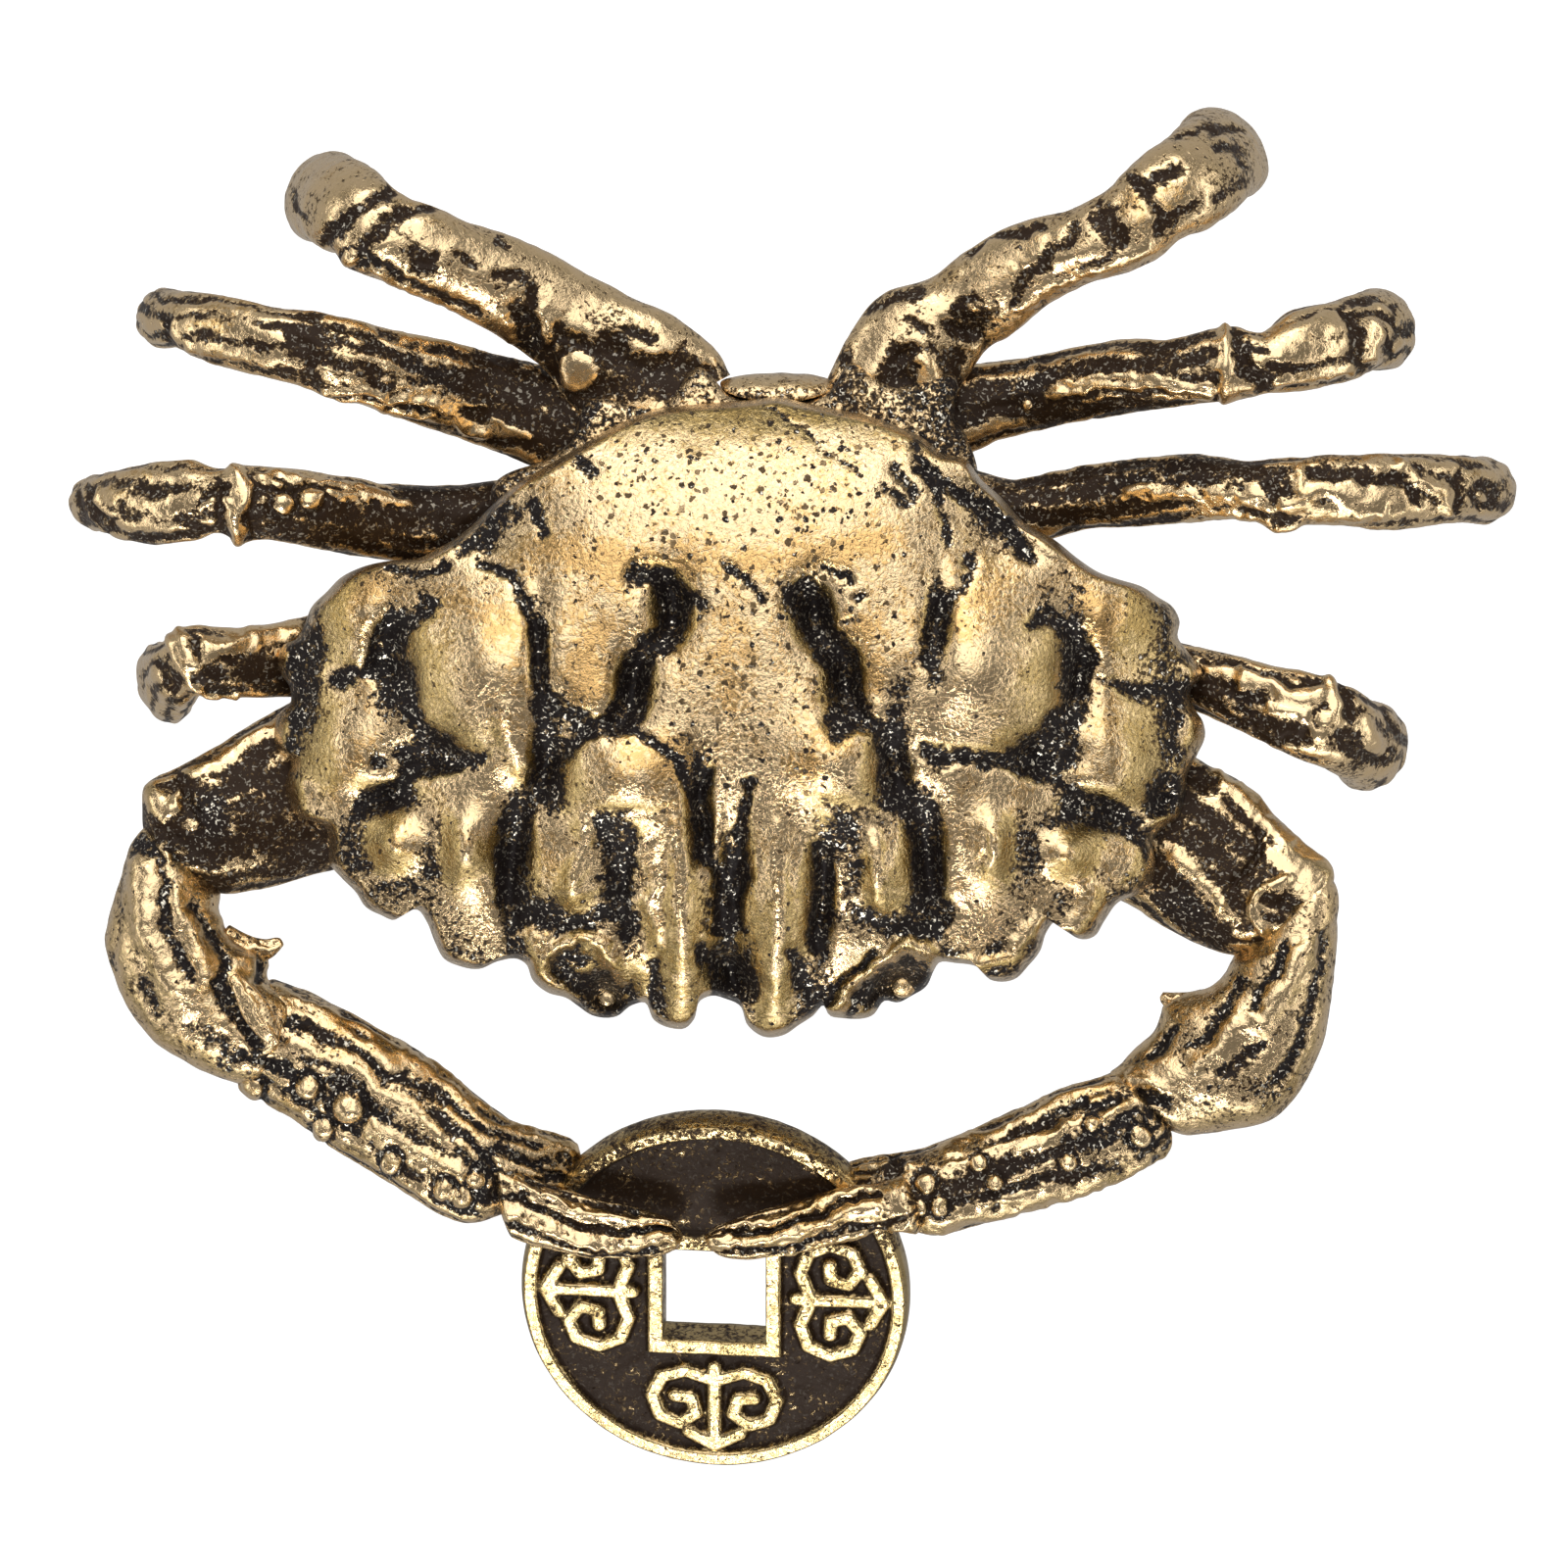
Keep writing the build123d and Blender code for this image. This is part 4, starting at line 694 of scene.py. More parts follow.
# %% Marks on the claws
CLAW_STROKES = {
    "left_claw_arm": [
        ([(330, 720), (285, 745), (240, 770), (200, 792)], 8, 5, -0.5),
        ([(225, 805), (330, 810), (400, 790)], 34, -2, 0.8),
        ([(222, 850), (300, 868), (360, 860)], 22, -2, 0.8),
        ([(218, 800), (232, 822), (250, 850)], 10, 2, -0.5),
        ([(186, 792), (200, 815), (206, 835)], 4, -5, 0.9), ([(158, 812), (172, 824)], 16, 7, -0.5),
        ([(168, 838), (184, 826), (192, 806)], 4, 5, -0.5),
        ([(142, 842), (160, 852), (178, 850)], 13, -9, 1.5),
        ([(204, 838), (176, 846), (171, 868), (180, 889)], 5, 6, -0.7),
        ([(150, 880), (180, 900), (225, 905)], 10, -4, 0.9)],
    "left_claw_wrist": [
        ([(150, 885), (148, 925), (155, 960), (170, 990), (192, 1012)], 12, 7, -0.5),
        ([(165, 888), (172, 930), (184, 975), (202, 1003)], 6, -2.5, 0.3),
        ([(183, 915), (198, 960), (215, 1000)], 9, 7, -0.4),
        ([(200, 928), (224, 962), (236, 988)], 6, -3, 0.4),
        ([(245, 1000), (262, 1030), (284, 1062)], 8, 6, -0.4),
        ([(228, 1005), (240, 1030), (262, 1062)], 6, -4, 0.9),
        ([(230, 935), (255, 955), (280, 965)], 7, 4, -0.3), ([(150, 1005), (165, 1030)], 8, -3, 0.2),
        ([(200, 1040), (238, 1080)], 9, -3, 0.28), ([(248, 1075), (300, 1085)], 8, -5, 0.5),
        ([(268, 975), (272, 1000)], 5, -5, 0.5), ([(130, 880), (118, 930), (118, 985)], 6, -2, 0.05),
        ([(150, 866), (168, 876)], 9, -4, 1.0)],
    "left_claw_palm": [
        ([(285, 1012), (340, 1035), (400, 1068), (455, 1102), (500, 1132)], 7, 4, -0.4),
        ([(295, 1040), (350, 1062), (400, 1092), (450, 1126)], 4, -3, 0.42),
        ([(350, 1065), (400, 1085)], 9, 3, -0.4),
        ([(300, 1062), (350, 1085), (400, 1118), (450, 1150)], 4, 3, -0.3),
        ([(280, 1080), (340, 1105), (390, 1140)], 4, -3, 0.42),
        ([(380, 1150), (420, 1172), (470, 1198)], 10, 4, -0.5),
        ([(340, 1140), (400, 1176), (450, 1205)], 4, -3, 0.5),
        ([(280, 1118), (340, 1155), (400, 1190), (450, 1222)], 7, 3, -0.3),
        ([(500, 1182), (508, 1215)], 7, -8, 1.1), ([(520, 1148), (560, 1165), (600, 1180)], 4, 3, -0.3),
        ([(515, 1168), (550, 1186), (590, 1205)], 4, -4, 0.7),
        ([(240, 1080), (300, 1090)], 7, -4, 0.6)],
    "left_claw_finger": [
        ([(518, 1232), (557, 1256), (620, 1267), (691, 1264)], 6, 6, -0.6),
        ([(524, 1216), (570, 1240), (630, 1252), (690, 1254)], 3.5, -5, 1.0),
        ([(530, 1205), (580, 1228), (640, 1240), (685, 1246)], 4, 5, -0.5),
        ([(540, 1198), (590, 1217), (650, 1231)], 2.5, -4, 0.9),
        ([(524, 1248), (570, 1266), (620, 1275), (670, 1275)], 2.5, -4, 0.8)],
    "right_claw_arm": [
        ([(1240, 795), (1275, 822), (1312, 860)], 9, 5, -0.6),
        ([(1160, 800), (1200, 830), (1260, 880)], 28, -2, 0.8),
        ([(1195, 870), (1212, 885), (1235, 908), (1248, 922)], 6, 4, -0.6),
        ([(1170, 880), (1200, 920), (1240, 950)], 14, -2, 0.8),
        ([(1298, 868), (1330, 880), (1360, 900)], 13, 4, -0.5),
        ([(1285, 848), (1275, 875), (1262, 900)], 4, -6, 1.0),
        ([(1312, 920), (1330, 935), (1346, 944)], 9, -8, 1.1),
        ([(1310, 895), (1285, 905), (1279, 930), (1288, 952)], 6, 7, -0.7),
        ([(1200, 790), (1230, 800)], 8, -4, 0.9)],
    "right_claw_wrist": [
        ([(1328, 965), (1312, 1000), (1285, 1043)], 10, 8, -0.6),
        ([(1308, 965), (1298, 995), (1284, 1028)], 6, -3, 0.5),
        ([(1262, 1045), (1240, 1066), (1218, 1086)], 9, 6, -0.6),
        ([(1270, 1000), (1250, 1035), (1222, 1060)], 6, -3, 0.4),
        ([(1345, 960), (1342, 1010), (1325, 1060), (1300, 1100)], 6, -4, 0.33),
        ([(1255, 1090), (1300, 1110)], 14, -1, 0.28),
        ([(1150, 1098), (1165, 1100), (1185, 1110)], 5, 4, -0.4),
        ([(1150, 1115), (1185, 1125)], 8, -8, 0.61),
        ([(1240, 1010), (1200, 1016), (1186, 1030)], 5, 3, -0.3),
        ([(1286, 1062), (1250, 1094)], 5, -5, 0.44),
        ([(1195, 1050), (1175, 1075)], 5, -4, 0.44)],
    "right_claw_palm": [
        ([(1130, 1105), (1080, 1122), (1020, 1148), (960, 1170)], 5, 3, -0.5),
        ([(1140, 1115), (1080, 1136), (1010, 1164)], 3, -4, 0.6),
        ([(1150, 1124), (1090, 1146), (1030, 1166), (960, 1186)], 3, 3, -0.5),
        ([(1190, 1135), (1100, 1165), (1000, 1200), (950, 1212)], 8, -3, 0.45),
        ([(1040, 1175), (1085, 1148)], 5, 5, -0.4),
        ([(945, 1248), (1000, 1238), (1050, 1226), (1110, 1210), (1160, 1193), (1200, 1176)], 8, 5, -0.6),
        ([(960, 1230), (1040, 1212), (1120, 1190)], 4, -5, 0.9), ([(914, 1185), (916, 1215)], 7, -8, 1.1),
        ([(1200, 1145), (1180, 1180)], 5, -4, 0.7), ([(925, 1185), (880, 1190)], 4, 3, -0.3)],
    "right_claw_finger": [
        ([(722, 1267), (768, 1264), (826, 1246), (893, 1227)], 6, 6, -0.6),
        ([(738, 1256), (790, 1247), (840, 1231), (895, 1214)], 3, -5, 1.0),
        ([(745, 1248), (800, 1236), (850, 1221), (890, 1209)], 4, 4, -0.4),
        ([(740, 1275), (800, 1269), (860, 1253), (925, 1240)], 3, -5, 0.9),
        ([(800, 1275), (860, 1261), (925, 1250)], 4, 4, -0.4)],
}
CLAW_BEADS = {
    "left_claw_arm": [(172, 876, 8, 5)],
    "left_claw_palm": [
        (257, 1110, 14, 9), (316, 1108, 13, 9), (357, 1130, 17, 10), (331, 1151, 11, 7), (401, 1184, 11, 7),
        (456, 1212, 12, 7), (472, 1220, 12, 7), (487, 1203, 9, 6)],
    "right_claw_palm": [
        (1162, 1158, 11, 8), (1113, 1145, 8, 6), (1089, 1185, 9, 7), (998, 1186, 9, 7), (1014, 1205, 9, 7),
        (944, 1206, 11, 7),
        (958, 1228, 10, 6), (938, 1230, 8, 5)],
}
CLAW_BASE_DARK = {
    "left_claw_arm": 0.3, "right_claw_arm": 0.25, "left_claw_wrist": 0.1, "right_claw_wrist": 0.15,
    "left_claw_palm": 0.38, "right_claw_palm": 0.4, "left_claw_finger": 0.15, "right_claw_finger": 0.15,
}
CLAW_STRIAE = {"arm": 0.7, "wrist": 0.0, "palm": 1.3, "finger": 0.4}
CLAW_LINES = 15
CLAW_PITS = {"arm": 0.12, "wrist": 0.55, "palm": 0.45, "finger": 0.25}
# How strong the painted shade on slopes is on the claws
CLAW_SLOPE_SHADE = 0.6

for name, strokes in CLAW_STROKES.items():
    kind = name.split("_")[-1]
    marks = strokes, CLAW_BEADS.get(name, []), CLAW_BASE_DARK[name]
    shape, dark = sculpt(claw_tube(name), *marks, LIMB_GRAIN, CLAW_STRIAE[kind], CLAW_LINES)
    dress(skin(name + "_skin", shape, dark, pits=pitted(shape, CLAW_PITS[kind]), slope_shade_share=CLAW_SLOPE_SHADE), name)

# %% [markdown]
# Each wrist carries a small spine on its inner side, where a live crab has one too, and the left wrist ends
# in a leaf-shaped tooth that lies over the root of the palm. They are short tubes that run out to a point.

# %% Spines and tooth of the wrists
# The node a spine belongs to, its height as a share of that node's, and its line: x, y, half width
SPINES = {
    "left_wrist_spine": ("left_claw_wrist", 0.52, [
        (226, 960, 20), (248, 968, 17), (264, 969, 13), (276, 967, 10), (284, 962, 7), (288, 957, 4)]),
    "left_wrist_leaf": ("left_claw_wrist", 0.93, [
        (240, 994, 5), (250, 1008, 10), (260, 1024, 14), (270, 1040, 14), (278, 1054, 10), (284, 1065, 4)]),
    "right_wrist_spine": ("right_claw_wrist", 0.52, [
        (1224, 1028, 20), (1208, 1026, 15), (1196, 1022, 11), (1188, 1018, 7), (1183, 1015, 4)]),
}
SPINE_DEPTH_SHARE = 0.55
SPINE_ALONG, SPINE_AROUND = 90, 48
SPINE_END_SHARE = 0.08
SPINE_RIDGE = (3, 3, -0.4)
SPINE_DARK, SPINE_GRAIN = 0.15, 0.4

for title, (node, rise_share, line) in SPINES.items():
    low, high = node_heights(node)
    line = np.array(line, float)
    x, y, half = line.T
    run = unit(np.gradient(line[:, :2] * (1, -1), axis=0))
    z = np.full(len(line), low + (high - low) * rise_share)
    rows = np.column_stack([x, -y, z, run[:, 1], -run[:, 0], half, half * SPINE_DEPTH_SHARE])
    body = tube(rows, SPINE_ALONG, SPINE_AROUND, SPINE_END_SHARE, SPINE_END_SHARE)
    shape, dark = sculpt(body, [(line[:, :2], *SPINE_RIDGE)], [], SPINE_DARK, SPINE_GRAIN)
    dress(skin(title, shape, dark), node)

# %% [markdown]
# The back shield is a dome on a toothed outline. Each point lies a share of the way from the middle to the
# edge, so the outline's teeth fade evenly into the dome. The wax was cut deeply: an H of slots parts the
# plateau at the rear from the lobes over the crab's organs, and orbits are scooped out for the eyes. The
# lobes and slots are soft mounds and pits, each a Gaussian with its own reach across and along.

# %% Outline and lobes of the back shield
SHIELD_CENTRE = (755, 732)
SHIELD_EDGE = [
    (525, 497), (500, 520), (480, 540), (450, 560), (430, 570), (400, 573), (370, 580), (350, 590),
    (335, 605), (320, 620), (312, 640), (305, 652), (290, 660), (285, 675), (290, 690), (297, 700),
    (297, 720), (290, 725), (282, 745), (285, 765), (298, 775), (293, 800), (297, 820), (305, 833),
    (320, 838), (333, 843), (338, 860), (338, 880), (350, 895), (365, 910), (375, 925), (390, 933),
    (405, 938), (412, 932), (428, 928), (437, 940), (445, 960), (455, 978), (470, 985), (490, 988),
    (510, 980), (530, 978), (537, 982), (545, 1000), (560, 1012), (580, 1018), (590, 1025), (605, 1035),
    (630, 1036), (645, 1025), (658, 1022), (668, 1040), (685, 1048), (700, 1048), (708, 1040), (715, 1020),
    (728, 1015), (740, 1018), (755, 1025), (763, 1045), (780, 1057), (800, 1055), (815, 1045), (830, 1035),
    (840, 1025), (846, 1035), (860, 1038), (890, 1035), (903, 1020), (915, 1022), (930, 1015), (945, 1005),
    (952, 990), (957, 982), (975, 982), (1000, 988), (1008, 998), (1020, 1001), (1035, 998), (1048, 985),
    (1060, 970), (1067, 950), (1075, 940), (1090, 942), (1095, 955), (1105, 958), (1115, 955), (1125, 940),
    (1140, 920), (1160, 912), (1170, 905), (1178, 880), (1175, 860), (1185, 845), (1200, 835), (1207, 815),
    (1210, 790), (1220, 770), (1228, 750), (1225, 735), (1218, 725), (1213, 705), (1225, 690), (1210, 665),
    (1200, 650), (1202, 635), (1195, 620), (1180, 610), (1165, 600), (1140, 592), (1120, 585), (1100, 572),
    (1075, 552), (1045, 535), (1020, 508), (1000, 490), (985, 470), (960, 463), (940, 447), (920, 438),
    (900, 430), (880, 424), (850, 418), (820, 412), (800, 407), (760, 410), (720, 413), (690, 416),
    (660, 422), (640, 430), (620, 440), (600, 452), (560, 476),
]
# Place, reach across, reach along and rise of each mound, or of each pit where the rise is below 0
SHIELD_MASSES = [
    (490, 685, 64, 66, 30), (1010, 685, 66, 62, 32), (365, 625, 50, 44, 22), (1140, 625, 50, 44, 22),
    (350, 765, 40, 50, 20), (1140, 775, 40, 52, 20), (640, 800, 52, 50, 26), (850, 780, 55, 52, 26),
    (405, 862, 26, 26, 22), (1092, 872, 26, 26, 22), (475, 865, 21, 39, 22), (1012, 865, 21, 39, 22),
    (588, 900, 22, 34, 14), (900, 890, 22, 34, 14), (697, 950, 22, 90, 18), (793, 940, 22, 100, 18),
    (686, 625, 20, 38, -30), (830, 630, 20, 38, -30), (648, 700, 18, 38, -28), (860, 700, 20, 40, -30),
    (560, 785, 20, 46, -26), (910, 785, 20, 46, -27), (526, 870, 18, 60, -24), (945, 870, 18, 60, -26),
    (552, 665, 12, 56, -13), (955, 640, 12, 56, -14), (402, 670, 18, 46, -24), (1096, 690, 18, 56, -24),
    (440, 772, 34, 20, -22), (1060, 772, 36, 20, -22), (400, 812, 36, 16, -17), (1115, 830, 42, 18, -19),
    (715, 830, 12, 49, -20), (838, 915, 12, 55, -19), (745, 900, 13, 60, -20), (745, 992, 19, 30, -27),
    (502, 530, 55, 48, -24), (1015, 535, 55, 48, -24), (622, 1017, 26, 22, -58), (918, 1008, 28, 22, -62),
]
SHIELD_ROUND = 660


def closed_curve(corners, count):
    """Cubic through the corners and back to the first, at equal steps along the line."""
    loop = np.array(corners[-2:] + corners + corners[:3], float)
    knots = np.concatenate([[0], np.cumsum(np.linalg.norm(np.diff(loop, axis=0), axis=1))])
    return smooth_rows(knots, loop, np.linspace(knots[2], knots[-3], count, endpoint=False))


shield_edge = closed_curve(SHIELD_EDGE, SHIELD_ROUND)
print("the shield's outline spans", np.ptp(shield_edge, axis=0).round(1), "px")

# %% [markdown]
# On the mounds lie finer marks: the worm-like grooves, the ridges beside them and the rims of the orbits. A
# second list warms the metal where it has a redder tone, and it uses the same rows, with the rise as warmth.

# %% Marks on the back shield
SHIELD_STROKES = [
    ([(655, 588), (683, 596), (693, 620), (686, 645), (660, 668), (648, 690), (643, 715),
      (632, 735)], 14, -10, 1.1),
    ([(497, 579), (526, 593), (541, 632), (551, 661), (556, 700), (570, 719)], 6, -5, 0.9),
    ([(572, 722), (600, 738), (632, 738)], 11, -6, 1.0),
    ([(600, 742), (560, 782), (541, 811), (526, 859), (517, 898), (530, 930)], 13, -7, 1.0),
    ([(640, 742), (662, 757), (690, 777), (708, 812), (728, 864)], 4.5, -4, 0.8),
    ([(435, 617), (391, 651), (386, 680), (415, 690), (425, 738), (449, 762), (488, 772)], 10, -7, 1.0),
    ([(470, 776), (444, 782), (405, 806), (372, 830)], 9, -6, 0.95), ([(352, 690), (386, 685)], 7, -5, 0.8),
    ([(309, 612), (302, 650), (306, 690)], 8, -4, 0.9),
    ([(818, 604), (830, 625), (846, 655), (862, 682), (868, 712), (872, 735)], 14, -10, 1.1),
    ([(845, 735), (852, 750)], 9, -4, 0.8), ([(905, 700)], 24, -3, 0.45),
    ([(885, 735), (900, 752), (911, 782), (926, 817), (941, 867), (946, 897), (955, 935)], 12, -7, 1.0),
    ([(990, 580), (966, 616), (951, 646), (938, 675)], 8, -5, 0.85),
    ([(1062, 631), (1087, 641), (1105, 675), (1095, 705), (1070, 750), (1040, 772), (985, 776),
      (945, 770)], 9, -7, 1.0),
    ([(1122, 696), (1172, 711), (1205, 703)], 6, -5, 0.8),
    ([(1050, 778), (1092, 807), (1132, 832), (1167, 852)], 12, -6, 0.95),
    ([(515, 735), (535, 780)], 16, 6, -0.3), ([(385, 780)], 7, -7, 1.0), ([(405, 862)], 16, 4, -0.5),
    ([(475, 850), (475, 880)], 14, 4, -0.5), ([(1088, 870)], 16, 4, -0.5), ([(1145, 885)], 18, 8, -0.4),
    ([(1012, 850), (1012, 880)], 14, 4, -0.5), ([(1000, 850), (1000, 880)], 4, -5, 0.9),
    # The next row paints shade: the dark band on the front slope of the left frontal lobe
    ([(618, 836), (650, 828), (690, 832), (712, 842)], 8, -2, 0.3),
    ([(600, 845), (590, 880), (588, 915)], 9, 6, -0.6), ([(624, 860), (632, 900)], 12, -6, 0.45),
    ([(648, 850), (640, 890), (636, 950)], 6, -5, 0.8), ([(665, 870), (666, 960)], 9, 4, -0.5),
    ([(695, 850), (698, 930), (697, 1040)], 17, 6, 0.22), ([(667, 905), (671, 965)], 7, 3, -0.6),
    ([(722, 955), (724, 972)], 6, 3, -0.6), ([(716, 790), (722, 850), (730, 900), (735, 945)], 6, -7, 1.0),
    ([(765, 800), (760, 850), (755, 945)], 6, -7, 1.0),
    ([(718, 972), (745, 985), (762, 1008)], 12, -9, 1.2),
    ([(795, 850), (795, 930), (790, 1045)], 17, 6, 0.22), ([(628, 848), (638, 900)], 18, -4, 0.45),
    ([(772, 868), (768, 955)], 8, 3, -0.5), ([(819, 868), (816, 955)], 8, 3, -0.5),
    ([(842, 870), (838, 920), (832, 965)], 8, -6, 1.0), ([(857, 850), (867, 905)], 16, -5, 0.45),
    # The second row below paints shade: the dark band on the front slope of the right frontal lobe
    ([(895, 860), (899, 915)], 9, 6, -0.6), ([(850, 822), (880, 832), (905, 850)], 8, -2, 0.3),
    ([(805, 975), (822, 1010)], 7, -5, 0.8), ([(665, 985), (672, 1020)], 6, -5, 0.8),
    ([(530, 925), (590, 935), (640, 930)], 15, -4, 0.6),
    ([(840, 935), (900, 940), (960, 930)], 15, -4, 0.6), ([(700, 612), (720, 622)], 6, -4, 0.9),
    ([(742, 580), (760, 592)], 5, -4, 0.9), ([(765, 600), (778, 612)], 4, -3, 0.9),
    ([(842, 580), (872, 590)], 5, -4, 0.9), ([(880, 610)], 5, -4, 1.0),
    ([(865, 635), (872, 633)], 5, -4, 0.9), ([(550, 955), (552, 990)], 12, 8, -0.3),
    ([(563, 985), (567, 965), (590, 957), (615, 967), (634, 990), (636, 1015)], 7, 12, -0.5),
    ([(577, 992), (600, 1000)], 13, -10, 1.3), ([(580, 970), (600, 976)], 3, -4, 0.6),
    ([(560, 1003), (576, 1010)], 7, 7, -0.5), ([(605, 1032), (636, 1030)], 6, 9, -0.4),
    ([(852, 1030), (872, 1008), (892, 985), (920, 967), (948, 967)], 7, 14, -0.3),
    ([(893, 1022), (905, 1000), (925, 988), (940, 992)], 10, -10, 1.3),
    ([(866, 1034), (882, 1010), (905, 985)], 3, -4, 0.5),
    ([(838, 1022), (862, 995), (890, 972)], 4, -5, 0.8),
    ([(985, 990), (1025, 975), (1055, 940)], 8, 7, -0.3), ([(1100, 940), (1112, 912)], 14, 8, -0.5),
    ([(1095, 950)], 5, -10, 1.3), ([(1185, 815)], 17, -22, 1.4), ([(1170, 845), (1205, 825)], 6, 5, -0.6),
    ([(292, 670)], 9, 6, -0.5), ([(290, 750)], 10, 7, -0.5), ([(306, 810)], 14, 7, -0.6),
    ([(303, 690), (312, 715)], 8, -8, 1.1), ([(320, 650), (318, 740)], 10, -3, 0.7),
    ([(1216, 685)], 10, 6, -0.5), ([(1216, 750)], 12, 6, -0.3), ([(1195, 715), (1200, 740)], 8, -6, 1.0),
    ([(520, 488), (480, 530), (440, 562)], 6, 5, -0.8), ([(395, 582), (460, 582)], 3, -4, 0.9),
    ([(590, 475), (608, 488)], 8, -3, 0.8), ([(548, 512), (560, 545)], 8, -3, 0.8),
    ([(470, 560), (500, 552)], 8, -3, 0.8),
    ([(985, 475), (1020, 518), (1065, 555), (1120, 585)], 6, 5, -0.8),
    ([(940, 480), (970, 500), (1010, 530), (1050, 570)], 6, -6, 1.0),
    ([(915, 478), (930, 500)], 8, -3, 0.8), ([(905, 505), (925, 515)], 6, -3, 0.8),
    ([(900, 430), (930, 450), (945, 480), (955, 520), (965, 560)], 5, -3, 0.7),
    ([(560, 500), (490, 550)], 34, 0, -0.6), ([(985, 530), (1040, 565)], 30, 0, -0.5),
    ([(780, 420), (800, 428), (815, 438), (825, 450), (840, 465), (860, 475), (875, 478)], 2.5, -2, 0.8),
]
SHIELD_WARMTH = [
    ([(560, 560), (640, 575), (760, 572)], 22, 1.0, 0), ([(790, 570), (900, 560)], 20, 0.9, 0),
    ([(450, 600), (500, 640)], 22, 0.7, 0), ([(350, 610), (400, 600)], 20, 0.7, 0),
    ([(520, 640), (545, 700)], 14, 0.8, 0), ([(600, 650), (600, 700)], 20, 0.7, 0),
    ([(640, 760), (700, 780)], 22, 0.9, 0), ([(740, 640), (745, 720)], 20, 0.5, 0),
    ([(960, 640), (1010, 600)], 22, 0.7, 0), ([(1100, 610), (1160, 640)], 20, 0.7, 0),
    ([(860, 750), (820, 770)], 22, 0.8, 0), ([(700, 420), (760, 416), (830, 425)], 8, 0.9, 0),
    ([(560, 880), (600, 940)], 16, 0.5, 0), ([(880, 640), (890, 690)], 20, 0.7, 0),
    ([(370, 770), (350, 800)], 16, 0.5, 0),
]
print(len(SHIELD_STROKES), "strokes and", len(SHIELD_WARMTH), "warm patches")

# %% [markdown]
# The dome itself falls away from a peak a little behind the middle, and more to the front than to the rear.
# Its edge is rolled in by a narrow lip, and a shallow underside closes it. Rubbing has cleaned the plateau
# and the rear edge, the margin has stayed dark, and the middle of the plateau is full of casting pits.

# %% Surface of the back shield
SHIELD_OUT, LIP_ROWS, SHIELD_UNDER = 122, 10, 14
SHIELD_HALF_WIDTH, SHIELD_HALF_LENGTH = 472.3, 325
SHIELD_POWER = 2.4
RIM_SHARE = 0.145
PEAK_SHARE = 0.3
REAR_FALL_SHARE, REAR_POWER = 0.5, 3
FRONT_FALL_SHARE, FRONT_POWER = 0.78, 2
INNERMOST_SHARE, LIP_SHARE = 0.006, 0.028
EDGE_RELIEF_SHARE = 0.35
UNDER_BULGE = 6
GROOVE_DARK_SHARE = 0.75
PLATEAU, PLATEAU_WIDTH, PLATEAU_CLEAN = [(690, 500), (850, 500)], 95, 0.3
REAR_EDGE, REAR_EDGE_WIDTH = [(660, 425), (880, 425)], 90
MARGIN_DARK, MARGIN_SHARES = 0.42, (0.80, 0.97)
UNDERSIDE_DARK = 0.6
PITTED, PITTED_WIDTH = [(690, 500), (850, 500), (765, 720)], 120
SHIELD_PITS, PLATEAU_PITS = 0.55, 0.6
SHIELD_WARM = 0.2
# How strong the painted shade on slopes is on the back shield
SHIELD_SLOPE_SHADE = 1.0


